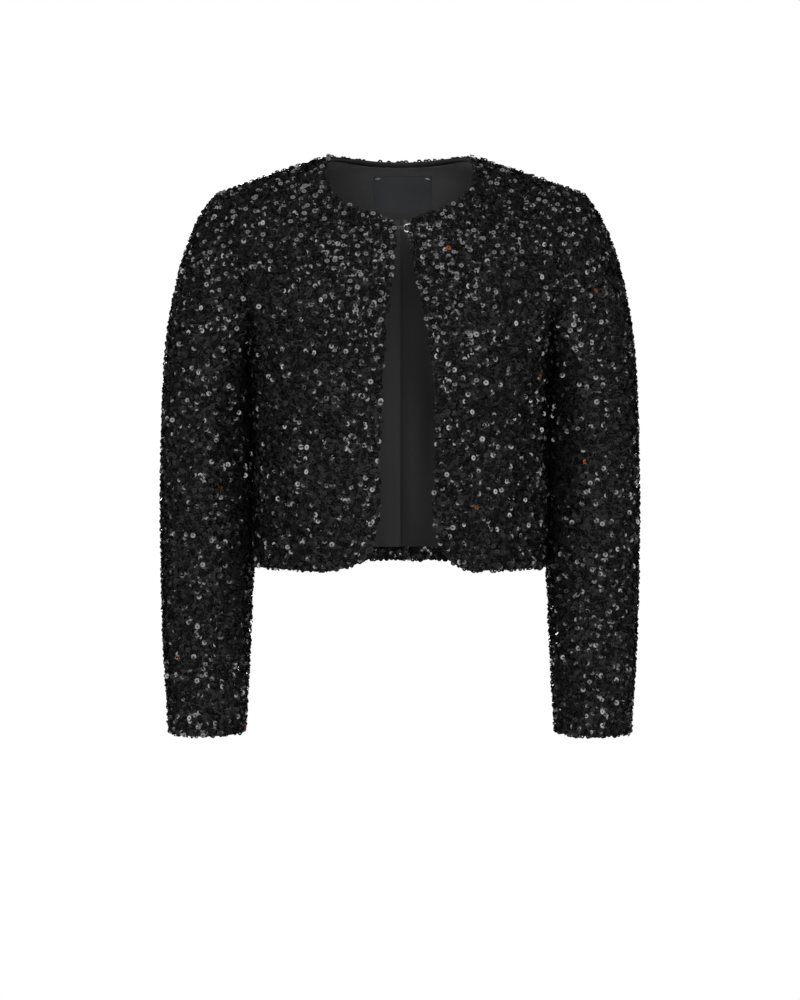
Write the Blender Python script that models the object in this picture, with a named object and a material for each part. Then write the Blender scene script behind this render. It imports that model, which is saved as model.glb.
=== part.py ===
"""Black sequinned bolero jacket, filled out as when worn and hooked together at the neck.

Metres, +Z up. X runs to the wearer's left, the front faces -Y, and the origin lies between
the shoulders on the centre plane, level with the tops of the shoulder seams. The tables
below are in millimetres and describe the wearer's left half, which is mirrored.
"""
from collections import namedtuple
import math

import bpy
from mathutils import Vector
from mathutils.bvhtree import BVHTree

MM = 0.001

# Cloth sizes, millimetres
CLOTH = 2.0             # sequinned cloth on its backing
TURN_UP = 1.6           # second layer of a hem or cuff turned up inside
THIN_CLOTH = 1.0        # lining, facing and label
SEAM_GAP = 0.3
SEAM_SHARE = 0.55       # share of the gap that each piece draws back from a seam
MITRE_LIMIT = 0.75      # seams that fold more sharply than this keep square edges
HALVINGS = 30           # steps of each search by halving

# Grid of the body: rows run from the hem to the shoulder seam, columns to the side
COLUMNS = 11
TURN_UP_ROW = 2
UNDERARM_ROW = 10
FRONT_NECK_ROW = 16
FACING_ROW = 18
BACK_NECK_ROW = 20
SHOULDER_ROW = 24
ROUND = 2 * (SHOULDER_ROW - UNDERARM_ROW)

# Horizontal rings of the body from the hem to the underarm, rows counted from the last ring
Ring = namedtuple("Ring", "rows height half_width front back")
TORSO = (
    Ring(0, -421.5, 149.5, 117.5, 102.0),
    Ring(2, -407.5, 149.5, 118.5, 102.3),
    Ring(1, -395.0, 149.5, 119.0, 102.6),
    Ring(4, -300.0, 149.8, 122.0, 105.5),
    Ring(2, -245.0, 151.0, 121.5, 109.5),
    Ring(1, -215.0, 156.0, 120.0, 112.0),
)
RING_PULL = 0.60        # handle length as a share of the ring's half width and depth

# Sections above the underarm: a curve from the inner edge (centre line, then neckline) to
# the outer edge (armhole), with the pull of its handle at each end
Section = namedtuple("Section", "rows inner outer inner_pull outer_pull")
FRONT_UPPER = (
    Section(3, (0, -111, -168), (152.5, -54, -176), (86, -3, -4), (-14, -40, 6)),
    Section(3, (3, -78, -72.9), (158, -66, -130), (58, -22, -40), (-45, -32, 12)),
    Section(1, (29, -75, -69), (162, -62, -113), (44, -18, -34), (-42, -28, 14)),
    Section(2, (63, -56, -51), (172, -45, -80), (34, -12, -20), (-36, -16, 14)),
    Section(3, (76.7, -20, -16.5), (184, -15, -49), (35, -4, -13), (-35, -4, 14)),
    Section(2, (73, 8, 0), (190, 5, -40), (39, 0, -12), (-39, 0, 14)),
)
BACK_UPPER = (
    Section(3, (0, 113, -168), (155, 46, -178), (86, 0, -2), (-10, 44, 8)),
    Section(3, (0, 108, -115), (167, 62, -125), (76, 2, -6), (-42, 32, 10)),
    Section(2, (0, 92, -54), (173, 58, -93), (68, 4, -10), (-48, 24, 16)),
    Section(2, (0, 68, 2), (179, 47, -69), (52, 16, -38), (-50, 18, 26)),
    Section(1, (26, 65.5, 2.6), (182.6, 37.5, -59), (47, 12, -26), (-47, 12, 21)),
    Section(1, (49, 54, 4.2), (185.5, 27, -50), (42, 7, -17), (-44, 7, 17)),
    Section(2, (73, 8, 0), (190, 5, -40), (39, 0, -12), (-39, 0, 14)),
)

# Distance of each front's opening edge from the centre plane, rounded at its lower corner
Edge = namedtuple("Edge", "height right left")
OPENING = (
    Edge(-421.5, 66.0, 68.0),
    Edge(-418.5, 48.0, 58.0),
    Edge(-414.0, 40.0, 52.0),
    Edge(-407.5, 33.5, 45.5),
    Edge(-395.0, 27.0, 38.5),
    Edge(-303.0, 20.5, 36.0),
    Edge(-206.0, 15.5, 30.5),
    Edge(-147.0, 10.5, 19.5),
    Edge(-87.0, 3.2, 6.8),
    Edge(-72.0, 3.0, 5.0),
)

# Sleeve: how it leaves the armhole, at steps counted from the underarm round the front
Leave = namedtuple("Leave", "step pull rise")
SLEEVE_HEAD = (
    Leave(0, (6, 0, -14), 14),
    Leave(3, (10, -9, -20), 32),
    Leave(6, (19, -12, -17), 52),
    Leave(10, (27, -8, -18), 82),
    Leave(14, (29, 0, -20), 108),
    Leave(18, (28, 8, -19), 82),
    Leave(22, (20, 11, -18), 52),
    Leave(25, (10, 8, -20), 32),
    Leave(28, (6, 0, -14), 14),
)
HEAD_RINGS = 6

# Sleeve rings from the upper arm to the cuff
ArmRing = namedtuple("ArmRing", "rings height across along half_width half_depth")
ARM = (
    ArmRing(0, -260.0, 199.0, 9.0, 44.9, 58.0),
    ArmRing(2, -315.0, 199.3, 16.0, 46.9, 55.5),
    ArmRing(3, -396.0, 199.4, 22.0, 47.7, 52.0),
    ArmRing(2, -450.0, 200.4, 20.0, 45.6, 49.5),
    ArmRing(3, -530.0, 199.4, 8.0, 42.0, 45.5),
    ArmRing(1, -568.0, 198.5, 0.0, 39.3, 43.0),
    ArmRing(1, -592.0, 198.2, -5.0, 37.9, 41.5),
)
CUFF_RINGS = 1          # rings of the cuff that are turned up inside
ARM_RADIUS = 50.0       # turns degrees round the sleeve into millimetres along its cloth

# Soft folds: troughs, or ridges where the depth is negative, from one spot to another.
# On the body a spot is (distance from the centre plane, height), on a sleeve it is
# (degrees round from the underarm, height).
Fold = namedtuple("Fold", "start end width depth")
FOLDS = {
    "front_left": (
        Fold((131, -235), (126, -430), 9, 4.0),
        Fold((104, -290), (97, -440), 15, -3.0),
        Fold((64, -330), (70, -440), 13, 2.2),
        Fold((146, -128), (98, -190), 12, 2.0),
        Fold((96, -62), (140, -100), 13, 1.6),
    ),
    "front_right": (
        Fold((126, -240), (122, -430), 10, 3.4),
        Fold((98, -270), (88, -440), 17, -2.8),
        Fold((58, -350), (60, -440), 12, 1.8),
        Fold((142, -135), (104, -200), 12, 2.2),
        Fold((100, -66), (146, -108), 12, 1.4),
    ),
    "back": (
        Fold((92, -250), (96, -440), 14, 3.6),
        Fold((-84, -270), (-92, -440), 16, 3.2),
        Fold((40, -340), (36, -440), 18, -2.4),
        Fold((-34, -320), (-42, -440), 16, -2.6),
        Fold((128, -200), (70, -232), 13, 2.4),
        Fold((-132, -190), (-76, -238), 14, 2.2),
    ),
    "sleeve_left": (
        Fold((60, -235), (128, -292), 10, 3.0),
        Fold((28, -345), (100, -318), 9, 2.6),
        Fold((22, -385), (112, -408), 10, 2.8),
        Fold((300, -330), (236, -362), 11, 3.0),
        Fold((322, -262), (258, -290), 10, 2.6),
        Fold((80, -480), (150, -515), 11, 1.8),
    ),
    "sleeve_right": (
        Fold((56, -228), (120, -276), 10, 2.8),
        Fold((24, -330), (106, -352), 10, 2.8),
        Fold((30, -402), (92, -384), 9, 2.4),
        Fold((304, -340), (232, -380), 11, 2.8),
        Fold((318, -255), (262, -282), 10, 2.8),
        Fold((70, -500), (160, -478), 11, 1.8),
    ),
}
SEAM_FADE = 2.5         # rows or columns over which a fold dies out towards a seam
FOLD_BLUNTNESS = 0.8    # below 1 a fold keeps its depth further towards its ends

# Centre back pleat of the lining, seen from inside: (across, depth) of each spot of the
# cloth's middle at the facing seam, at the height where the pleat opens, and at the foot
Spot = namedtuple("Spot", "top middle foot")
PLEAT = (
    Spot((-34.0, 1.2), (-34.0, 1.6), (-35.0, 2.6)),
    Spot((-21.0, 2.6), (-21.0, 3.8), (-22.0, 5.8)),
    Spot((-11.0, 4.3), (-9.0, 6.2), (-9.5, 8.8)),
    Spot((-0.2, 4.5), (-0.2, 7.0), (0.0, 9.8)),
    Spot((0.7, 3.75), (0.8, 6.3), (1.0, 9.0)),
    Spot((-0.2, 3.0), (-0.2, 5.5), (0.0, 8.2)),
    Spot((-9.5, 3.0), (-8.5, 3.6), (-8.5, 4.4)),
    Spot((-10.4, 2.25), (-9.6, 2.5), (-9.8, 2.8)),
    Spot((-9.5, 1.5), (-8.6, 1.5), (-8.8, 1.5)),
    Spot((1.0, 1.5), (4.0, 1.4), (5.0, 1.4)),
    Spot((6.0, 1.8), (13.0, 1.6), (13.0, 2.6)),
    Spot((12.0, 2.4), (24.0, 1.8), (24.0, 1.6)),
    Spot((20.0, 1.8), (33.0, 4.6), (35.0, 3.8)),
    Spot((32.0, 1.2), (40.0, 2.4), (42.0, 2.2)),
)
PLEAT_HEIGHTS = (-54.0, -215.0, -407.5)
PLEAT_COLUMNS = 3       # columns of the back on each side that the pleat takes up
LINING_INSET = 0.72     # how far the lining reaches across its last column
SHARPEST_TURN = 0.6     # least cosine of half a turn that the lining's wall is mitred for

# Neckline roll, facing and label
ROLL_BACK_HEIGHT = 5.2
ROLL_FRONT_HEIGHT = 2.6
ROLL_DEPTH = 1.8
ROLL_CLEARANCE = 0.6
ROLL_STAND = 0.9        # how far the roll stands above the cloth's edge
ROLL_SIDES = 8
ROLL_GROWS_FROM = -30.0     # place along Y where the roll starts to grow taller
ROLL_GROWS_OVER = 90.0
FACING_INSET = 4.0      # at the armhole
FACING_MARGIN = 1.08    # share by which the facing keeps clear of the roll's height
SHOULDER_MARGIN = 1.19  # the same at its two corners beside the neck
LABEL_LEFT, LABEL_RIGHT = -28.0, 34.0
LABEL_FOOT, LABEL_TOP = -48.5, -11.0
LABEL_STEPS = 4
LABEL_GAP = 1.5 * SEAM_GAP

# Hook and eye at the neck
FASTENER_HEIGHT = -82.5
EYE_WIRE = 0.8
HOOK_WIRE = 0.42
EYE_HALF_HEIGHT = 4.0
EYE_CORNER = 1.0        # how far the bar's bends cut its corners
EYE_RAMP = 2.0          # length over which the eye's legs step down to the cloth
BAR_ACROSS = 4.3
BAR_DEPTH = HOOK_WIRE + 1.55    # how far in from the fronts the bar stands
HOOK_HALF_SPAN = 1.0
HOOK_RETURN = 2.2       # how far the hook's tip runs back past the bar
HOOK_NOSE = 0.7         # how far the bend at the tip runs on
SEW_LOOP = 1.5
FASTENER_REACH = 11.0
FASTENER_CLEARANCE = 1.2 * SEAM_GAP
SEARCH_REACH = 30.0     # how far in from the fronts the search for their inside starts

# Colours: linear base colour, roughness and metallic value
Finish = namedtuple("Finish", "colour roughness metallic")
FINISHES = {
    "sequin_cloth": Finish((0.012, 0.012, 0.013), 0.35, 0.2),
    "lining_satin": Finish((0.026, 0.026, 0.027), 0.55, 0.0),
    "facing_cloth": Finish((0.022, 0.022, 0.023), 0.65, 0.0),
    "label_weave": Finish((0.026, 0.028, 0.031), 0.6, 0.0),
    "roll_cloth": Finish((0.012, 0.012, 0.012), 0.6, 0.0),
    "bright_steel": Finish((0.75, 0.75, 0.76), 0.25, 1.0),
    "black_steel": Finish((0.03, 0.03, 0.03), 0.4, 0.6),
}


class Track:
    """A smooth curve through values that are given at rising knots."""

    def __init__(self, knots, values):
        self.knots = list(knots)
        self.values = [Vector(value) for value in values]
        steps = [b - a for a, b in zip(self.knots, self.knots[1:])]
        rates = [(b - a) / step for a, b, step in zip(self.values, self.values[1:], steps)]
        self.slopes = [rates[0]]
        for index in range(1, len(rates)):
            before, after = steps[index - 1], steps[index]
            slope = (rates[index - 1] * after + rates[index] * before) / (before + after)
            self.slopes.append(slope)
        self.slopes.append(rates[-1])

    def at(self, knot):
        """The value at a knot, fractional ones included."""
        last = len(self.knots) - 2
        index = max(i for i in range(last + 1) if i == 0 or self.knots[i] <= knot)
        step = self.knots[index + 1] - self.knots[index]
        t = (knot - self.knots[index]) / step
        a, b = self.values[index], self.values[index + 1]
        start, end = self.slopes[index] * step, self.slopes[index + 1] * step
        rise = t * t * (3.0 - 2.0 * t)
        return a * (1.0 - rise) + b * rise + start * (t * (1 - t) ** 2) - end * (t * t * (1 - t))


def knots_of(counts):
    """Running totals of row counts."""
    totals = []
    for count in counts:
        totals.append(count + (totals[-1] if totals else 0))
    return totals


def bezier(a, b, c, d, t):
    """A point of a cubic curve from a to d with handles at b and c."""
    s = 1.0 - t
    return a * s ** 3 + b * (3 * s * s * t) + c * (3 * s * t * t) + d * t ** 3


def mirrored(vector, side):
    """A point of the left half, moved to its own side."""
    return Vector((vector.x * side, vector.y, vector.z))


def fold_depth(folds, spot):
    """Depth of the soft folds at a spot of the cloth, laid out flat."""
    depth = 0.0
    for fold in folds:
        start, end = Vector(fold.start), Vector(fold.end)
        run = end - start
        along = (spot - start).dot(run) / run.length_squared
        if 0.0 < along < 1.0:
            away = (spot - start - run * along).length / fold.width
            fading = math.sin(math.pi * along) ** FOLD_BLUNTNESS
            depth += fold.depth * math.exp(-away * away) * fading
    return depth


class HalfPanel:
    """Left half of the front or back as a smooth surface over rows and across (0 to 1)."""

    def __init__(self, name, upper, facing, neck_row, side):
        self.name = name
        self.facing = facing
        self.folds = FOLDS[name]
        self.side = side
        self.neck_row = neck_row
        depth = [ring.front if facing < 0 else ring.back for ring in TORSO]
        lower = [
            Section(ring.rows, (0, facing * d, ring.height), (ring.half_width, 0, ring.height),
                    (RING_PULL * ring.half_width, 0, 0), (0, facing * RING_PULL * d, 0))
            for ring, d in zip(TORSO, depth)
        ]
        sections = lower + list(upper)
        knots = knots_of(section.rows for section in sections)
        turn = knots.index(UNDERARM_ROW)
        neck = knots.index(neck_row)
        inner = [section.inner for section in sections]
        outer = [section.outer for section in sections]
        self.centre_line = Track(knots[:neck + 1], inner[:neck + 1])
        self.neckline = Track(knots[neck:], inner[neck:])
        self.inner_pull = Track(knots, [section.inner_pull for section in sections])
        self.outer_pull = Track(knots, [section.outer_pull for section in sections])
        self.side_seam = Track(knots[:turn + 1], outer[:turn + 1])
        self.armhole = Track(knots[turn:], outer[turn:])

    def inner(self, row):
        """Inner edge of the smooth surface: the centre line, then the neckline."""
        return self.centre_line.at(row) if row <= self.neck_row else self.neckline.at(row)

    def outer(self, row):
        """Outer edge of the smooth surface: the side seam, then the armhole."""
        return self.side_seam.at(row) if row <= UNDERARM_ROW else self.armhole.at(row)

    def smooth(self, row, across):
        """A point of the left half before it is cut at the opening edge or folded."""
        inner, outer = self.inner(row), self.outer(row)
        return bezier(inner, inner + self.inner_pull.at(row),
                      outer + self.outer_pull.at(row), outer, across)

    def start(self, row):
        """Where the cloth begins across a row, 0 at the centre line or neckline."""
        return 0.0

    def place(self, row, across):
        """A point of the cloth without folds, on its own side of the body."""
        begin = self.start(row)
        return mirrored(self.smooth(row, begin + (1.0 - begin) * across), self.side)

    def normal(self, row, across):
        """Direction out of the body, square to the cloth."""
        step = 0.01
        low = row - step if row > 0 else row
        high = row if row in (UNDERARM_ROW, self.neck_row, SHOULDER_ROW) else row + step
        left, right = max(across - step, 0.0), min(across + step, 1.0)
        along = self.place(row, right) - self.place(row, left)
        up = self.place(high, across) - self.place(low, across)
        return (along.cross(up) * -self.facing * self.side).normalized()

    def point(self, row, across):
        """A point of the cloth with its folds, which die out towards the seams."""
        place = self.place(row, across)
        to_side = (1.0 - across) * COLUMNS
        to_shoulder = SHOULDER_ROW - row
        fade = min(1.0, to_side / SEAM_FADE, to_shoulder / SEAM_FADE)
        across_body = place.x if self.name == "back" else abs(place.x)
        depth = fold_depth(self.folds, Vector((across_body, place.z)))
        return place - self.normal(row, across) * depth * fade


class FrontPanel(HalfPanel):
    """A front, whose rows begin at the opening edge."""

    def __init__(self, side):
        name = "front_left" if side > 0 else "front_right"
        super().__init__(name, FRONT_UPPER, -1, FRONT_NECK_ROW, side)
        self.opening = Track(
            [edge.height for edge in OPENING],
            [(edge.left if side > 0 else edge.right, 0, 0) for edge in OPENING],
        )
        rows = range(FRONT_NECK_ROW + 1)
        self.starts = Track(rows, [(self.crossing(row), 0, 0) for row in rows])

    def crossing(self, row):
        """Where a row crosses the opening edge, found by halving."""
        low, high = 0.0, 1.0
        for _ in range(HALVINGS):
            middle = 0.5 * (low + high)
            spot = self.smooth(row, middle)
            inside = spot.x < self.opening.at(min(spot.z, OPENING[-1].height)).x
            low, high = (middle, high) if inside else (low, middle)
        return low

    def start(self, row):
        """Where the cloth begins across a row: the opening edge below the neck."""
        return self.starts.at(row).x if row <= FRONT_NECK_ROW else 0.0


class Sheet:
    """Cloth as points and quads, with the direction out of the cloth at each point."""

    def __init__(self, name):
        self.name = name
        self.points = {}
        self.normals = {}
        self.ribs = {}
        self.quads = []

    def add(self, key, point, normal):
        """Add a point, whose rib is its normal until a seam turns it."""
        self.points[key] = point
        self.normals[key] = normal
        self.ribs[key] = normal

    def quad(self, keys, flip=False):
        """Add a quad of four keys, turned over where flip is set."""
        self.quads.append(tuple(reversed(keys)) if flip else tuple(keys))

    def neighbours(self):
        """The points that share a quad with each point."""
        near = {key: set() for key in self.points}
        for quad in self.quads:
            for key in quad:
                near[key].update(other for other in quad if other != key)
        return near

    def rim(self):
        """The directed edges that only one quad has."""
        edges = {(quad[i], quad[(i + 1) % 4]) for quad in self.quads for i in range(4)}
        return [(a, b) for a, b in edges if (b, a) not in edges]

    def drop_unused(self):
        """Drop the points that no quad uses."""
        used = {key for quad in self.quads for key in quad}
        for key in set(self.points) - used:
            del self.points[key], self.normals[key], self.ribs[key]


def towards_cloth(sheet, near, key):
    """Unit direction from a rim point into its own cloth."""
    middle = sum((sheet.points[other] for other in near[key]), Vector()) / len(near[key])
    return (middle - sheet.points[key]).normalized()


def part_seams(sheets):
    """Part the points that pieces share by the seam gap, and mitre their edges."""
    shared = {}
    near = {sheet.name: sheet.neighbours() for sheet in sheets}
    for sheet in sheets:
        for key, point in sheet.points.items():
            spot = tuple(round(value, 2) for value in point)
            shared.setdefault(spot, []).append((sheet, key))
    moves = []
    for mates in shared.values():
        if len(mates) < 2:
            continue
        inward = [towards_cloth(sheet, near[sheet.name], key) for sheet, key in mates]
        mean = sum((sheet.normals[key] for sheet, key in mates), Vector()).normalized()
        for index, (sheet, key) in enumerate(mates):
            others = [way for other, way in enumerate(inward) if other != index]
            apart = inward[index] - sum(others, Vector()) / len(others)
            moves.append((sheet, key, apart.normalized() * (SEAM_SHARE * SEAM_GAP)))
            lean = sheet.normals[key].dot(mean)
            if lean > MITRE_LIMIT:
                sheet.ribs[key] = mean / lean
    for sheet, key, move in moves:
        sheet.points[key] = sheet.points[key] + move


def material(finish_name):
    """The Principled material of a finish, made once."""
    known = bpy.data.materials.get(finish_name)
    if known:
        return known
    finish = FINISHES[finish_name]
    made = bpy.data.materials.new(finish_name)
    made.use_nodes = True
    shader = made.node_tree.nodes["Principled BSDF"]
    shader.inputs["Base Color"].default_value = (*finish.colour, 1.0)
    shader.inputs["Roughness"].default_value = finish.roughness
    shader.inputs["Metallic"].default_value = finish.metallic
    return made


def make_object(name, points, faces, finish_name):
    """A mesh object from points in millimetres."""
    mesh = bpy.data.meshes.new(name)
    mesh.from_pydata([point * MM for point in points], [], faces)
    mesh.validate()
    mesh.shade_smooth()
    mesh.set_sharp_from_angle(angle=math.radians(40))
    mesh.materials.append(material(finish_name))
    made = bpy.data.objects.new(name, mesh)
    bpy.context.scene.collection.objects.link(made)
    return made


def wall(sheet, outside, inside, finish_name):
    """Close a sheet into a wall.

    outside and inside give how far each face lies inwards from the sheet at a point.
    """
    keys = list(sheet.points)
    count = len(keys)
    number = {key: index for index, key in enumerate(keys)}
    outer = [sheet.points[key] - sheet.ribs[key] * outside(key) for key in keys]
    inner = [sheet.points[key] - sheet.ribs[key] * inside(key) for key in keys]
    faces = []
    for quad in sheet.quads:
        a, b, c, d = (number[key] for key in quad)
        if (outer[a] - outer[c]).length > (outer[b] - outer[d]).length:
            a, b, c, d = b, c, d, a
        for corners in ((a, b, c), (a, c, d)):
            faces.append(corners)
            faces.append(tuple(count + corner for corner in reversed(corners)))
    for start, end in sheet.rim():
        a, b = number[start], number[end]
        faces.append((b, a, count + a))
        faces.append((b, count + a, count + b))
    return make_object(sheet.name, outer + inner, faces, finish_name)


def cloth_depth(key):
    """Thickness of the body's cloth at a grid point: double where the hem is turned up."""
    return CLOTH + (TURN_UP if key[1] <= TURN_UP_ROW else 0.0)


def front_sheet(panel):
    """Grid of a front; a key is (side, row, column)."""
    sheet = Sheet(panel.name)
    side = panel.side
    for row in range(SHOULDER_ROW + 1):
        for column in range(COLUMNS + 1):
            across = column / COLUMNS
            sheet.add((side, row, column), panel.point(row, across), panel.normal(row, across))
    for row in range(SHOULDER_ROW):
        for column in range(COLUMNS):
            keys = [(side, row, column), (side, row, column + 1),
                    (side, row + 1, column + 1), (side, row + 1, column)]
            sheet.quad(keys, flip=side < 0)
    return sheet


def back_key(side, row, column):
    """Key of a back point; both halves share the centre line up to the neck."""
    centre = column == 0 and row <= BACK_NECK_ROW
    return (0 if centre else side, row, column)


def back_sheet(halves):
    """Grid of the whole back from its two halves."""
    sheet = Sheet("back")
    for side, panel in halves.items():
        for row in range(SHOULDER_ROW + 1):
            for column in range(COLUMNS + 1):
                across = column / COLUMNS
                point, normal = panel.point(row, across), panel.normal(row, across)
                key = back_key(side, row, column)
                if key[0] == 0:
                    point.x = 0.0
                    normal = Vector((0.0, normal.y, normal.z)).normalized()
                sheet.add(key, point, normal)
        for row in range(SHOULDER_ROW):
            for column in range(COLUMNS):
                keys = [back_key(side, row, column), back_key(side, row + 1, column),
                        back_key(side, row + 1, column + 1), back_key(side, row, column + 1)]
                sheet.quad(keys, flip=side < 0)
    return sheet


def sleeve_sheet(side, front, back):
    """Grid of a sleeve from the armhole's own points down to the cuff."""
    name = "sleeve_left" if side > 0 else "sleeve_right"
    head_pull = Track([leave.step for leave in SLEEVE_HEAD], [leave.pull for leave in SLEEVE_HEAD])
    head_rise = Track([leave.step for leave in SLEEVE_HEAD],
                      [(0, 0, leave.rise) for leave in SLEEVE_HEAD])
    arm_knots = knots_of(ring.rings for ring in ARM)
    centres = Track(arm_knots, [(ring.across, ring.along, ring.height) for ring in ARM])
    halves = Track(arm_knots, [(ring.half_width, ring.half_depth, 0) for ring in ARM])

    def armhole(step):
        """Point of the armhole, counted from the underarm round the front."""
        if step <= ROUND // 2:
            return front.outer(UNDERARM_ROW + step)
        return back.outer(UNDERARM_ROW + ROUND - step)

    def arm(ring, step):
        """Point of the left arm below the sleeve's head."""
        turn = 2.0 * math.pi * step / ROUND
        half = halves.at(ring)
        return centres.at(ring) - Vector((half.x * math.cos(turn), half.y * math.sin(turn), 0))

    def bare(ring, step):
        """Point of the sleeve without folds."""
        step %= ROUND
        if ring >= HEAD_RINGS:
            return mirrored(arm(ring - HEAD_RINGS, step), side)
        start, end = armhole(step), arm(0, step)
        return mirrored(bezier(start, start + head_pull.at(step), end + head_rise.at(step), end,
                               ring / HEAD_RINGS), side)

    def outward(ring, step):
        """Direction out of the sleeve."""
        last = HEAD_RINGS + arm_knots[-1]
        little = 0.05
        along = bare(min(ring + little, last), step) - bare(max(ring - little, 0), step)
        around = bare(ring, step + 1) - bare(ring, step - 1)
        return (along.cross(around) * side).normalized()

    sheet = Sheet(name)
    rings = HEAD_RINGS + arm_knots[-1]
    for ring in range(rings + 1):
        for step in range(ROUND):
            place, normal = bare(ring, step), outward(ring, step)
            degrees = 360.0 * step / ROUND
            depth = sleeve_fold_depth(FOLDS[name], degrees, place.z)
            fade = min(1.0, ring / SEAM_FADE)
            sheet.add((side, ring, step), place - normal * depth * fade, normal)
    for ring in range(rings):
        for step in range(ROUND):
            after = (step + 1) % ROUND
            keys = [(side, ring, step), (side, ring + 1, step),
                    (side, ring + 1, after), (side, ring, after)]
            sheet.quad(keys, flip=side < 0)
    return sheet, rings


def sleeve_fold_depth(folds, degrees, height):
    """Depth of the sleeve's folds, with degrees turned into millimetres round the arm."""
    per_degree = math.radians(ARM_RADIUS)
    flat = [
        Fold((fold.start[0] * per_degree, fold.start[1]), (fold.end[0] * per_degree, fold.end[1]),
             fold.width, fold.depth)
        for fold in folds
    ]
    return fold_depth(flat, Vector((degrees * per_degree, height)))


def roll_height(point):
    """Height of the neckline roll, tallest at the centre back."""
    share = min(max((point.y - ROLL_GROWS_FROM) / ROLL_GROWS_OVER, 0.0), 1.0)
    rise = share * share * (3.0 - 2.0 * share)
    return ROLL_FRONT_HEIGHT + (ROLL_BACK_HEIGHT - ROLL_FRONT_HEIGHT) * rise


def facing_sheet(back):
    """The facing on the upper back, from the back's own points."""
    sheet = Sheet("back_neck_facing")
    for key, point in back.points.items():
        sheet.add(key, point, back.normals[key])
    sheet.quads = [quad for quad in back.quads if min(key[1] for key in quad) >= FACING_ROW]
    sheet.drop_unused()
    near = sheet.neighbours()
    following = dict(sheet.rim())
    leading = {after: before for before, after in following.items()}
    moves = {}
    for key in following:
        _, row, column = key
        point = sheet.points[key]
        tangent = (sheet.points[following[key]] - sheet.points[leading[key]]).normalized()
        inwards = towards_cloth(sheet, near, key)
        inwards = (inwards - tangent * inwards.dot(tangent)).normalized()
        below_roll = roll_height(point) - ROLL_STAND + SEAM_GAP
        if row == SHOULDER_ROW and column == 0:
            beside = (sheet.points[(key[0], row, 1)] - point).normalized()
            moves[key] = beside * SHOULDER_MARGIN * below_roll + inwards * SEAM_GAP
        elif column == COLUMNS:
            moves[key] = inwards * FACING_INSET
        elif row == SHOULDER_ROW:
            moves[key] = inwards * 2.0 * SEAM_GAP
        elif row == FACING_ROW:
            moves[key] = inwards * 0.5 * SEAM_GAP
        else:
            moves[key] = inwards * FACING_MARGIN * below_roll
    for key, move in moves.items():
        sheet.points[key] = sheet.points[key] + move
    return sheet


def on_back(back, row, column):
    """Point and normal of the faceted back at a row and a signed column, either fractional."""
    side = -1 if column < 0 else 1
    low_row = min(int(row), SHOULDER_ROW - 1)
    low_column = min(int(abs(column)), COLUMNS - 1)
    up, over = row - low_row, abs(column) - low_column
    weights = {
        (low_row, low_column): (1 - up) * (1 - over),
        (low_row, low_column + 1): (1 - up) * over,
        (low_row + 1, low_column): up * (1 - over),
        (low_row + 1, low_column + 1): up * over,
    }
    point, normal = Vector(), Vector()
    for (at_row, at_column), weight in weights.items():
        key = back_key(side, at_row, at_column)
        point += back.points[key] * weight
        normal += back.normals[key] * weight
    return point, normal.normalized()


def column_at(back, row, across):
    """The signed column of the back that lies at a distance from the centre plane."""
    low, high = -float(COLUMNS), float(COLUMNS)
    for _ in range(HALVINGS):
        middle = 0.5 * (low + high)
        if on_back(back, row, middle)[0].x < across:
            low = middle
        else:
            high = middle
    return low


def row_at(back, height, across):
    """The row of the back that lies at a height and a distance from the centre plane."""
    low, high = float(TURN_UP_ROW), float(SHOULDER_ROW)
    for _ in range(HALVINGS):
        middle = 0.5 * (low + high)
        if on_back(back, middle, column_at(back, middle, across))[0].z < height:
            low = middle
        else:
            high = middle
    return low


def lining_sheet(back):
    """The back lining with its pleat, as the middle of the cloth between two faces."""
    sheet = Sheet("back_lining")
    plain = [COLUMNS - 1 + LINING_INSET] + list(range(COLUMNS - 1, PLEAT_COLUMNS - 1, -1))
    rest = SEAM_GAP + 0.5 * THIN_CLOTH
    last = len(plain) * 2 + len(PLEAT) - 1
    for row in range(TURN_UP_ROW, FACING_ROW + 1):
        centre = on_back(back, row, 0.0)[0]
        levels = Track([-height for height in PLEAT_HEIGHTS], [(0, 0, 0), (1, 0, 0), (2, 0, 0)])
        level = levels.at(min(max(-centre.z, -PLEAT_HEIGHTS[0]), -PLEAT_HEIGHTS[2])).x
        path = [(-column, rest) for column in plain]
        for spot in PLEAT:
            shape = Track((0, 1, 2), [(*spot.top, 0), (*spot.middle, 0), (*spot.foot, 0)]).at(level)
            path.append((column_at(back, row, shape.x), shape.y))
        path += [(column, rest) for column in reversed(plain)]
        for index, (column, depth) in enumerate(path):
            point, normal = on_back(back, row, column)
            if row == FACING_ROW:
                below = on_back(back, row - 1, column)[0]
                point = point + (below - point).normalized() * 0.5 * SEAM_GAP
            inwards = cloth_depth((0, row)) + depth
            sheet.add((0, row, index), point - normal * inwards, normal)
    for row in range(TURN_UP_ROW, FACING_ROW):
        for index in range(last):
            sheet.quad([(0, row, index), (0, row + 1, index),
                        (0, row + 1, index + 1), (0, row, index + 1)])
    turn_ribs_across_path(sheet, last)
    return sheet


def turn_ribs_across_path(sheet, last):
    """Turn each rib of the lining square to its own row, so that folds keep their wall."""
    for (side, row, index), point in sheet.points.items():
        before = sheet.points[(side, row, max(index - 1, 0))]
        after = sheet.points[(side, row, min(index + 1, last))]
        upper = sheet.points[(side, min(row + 1, FACING_ROW), index)]
        lower = sheet.points[(side, max(row - 1, TURN_UP_ROW), index)]
        into, out = (point - before).normalized(), (after - point).normalized()
        up = (upper - lower).normalized()
        rib = up.cross(into + out).normalized()
        half_turn = max(math.cos(0.5 * into.angle(out, 0.0)), SHARPEST_TURN)
        sheet.ribs[(side, row, index)] = rib / half_turn


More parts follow.
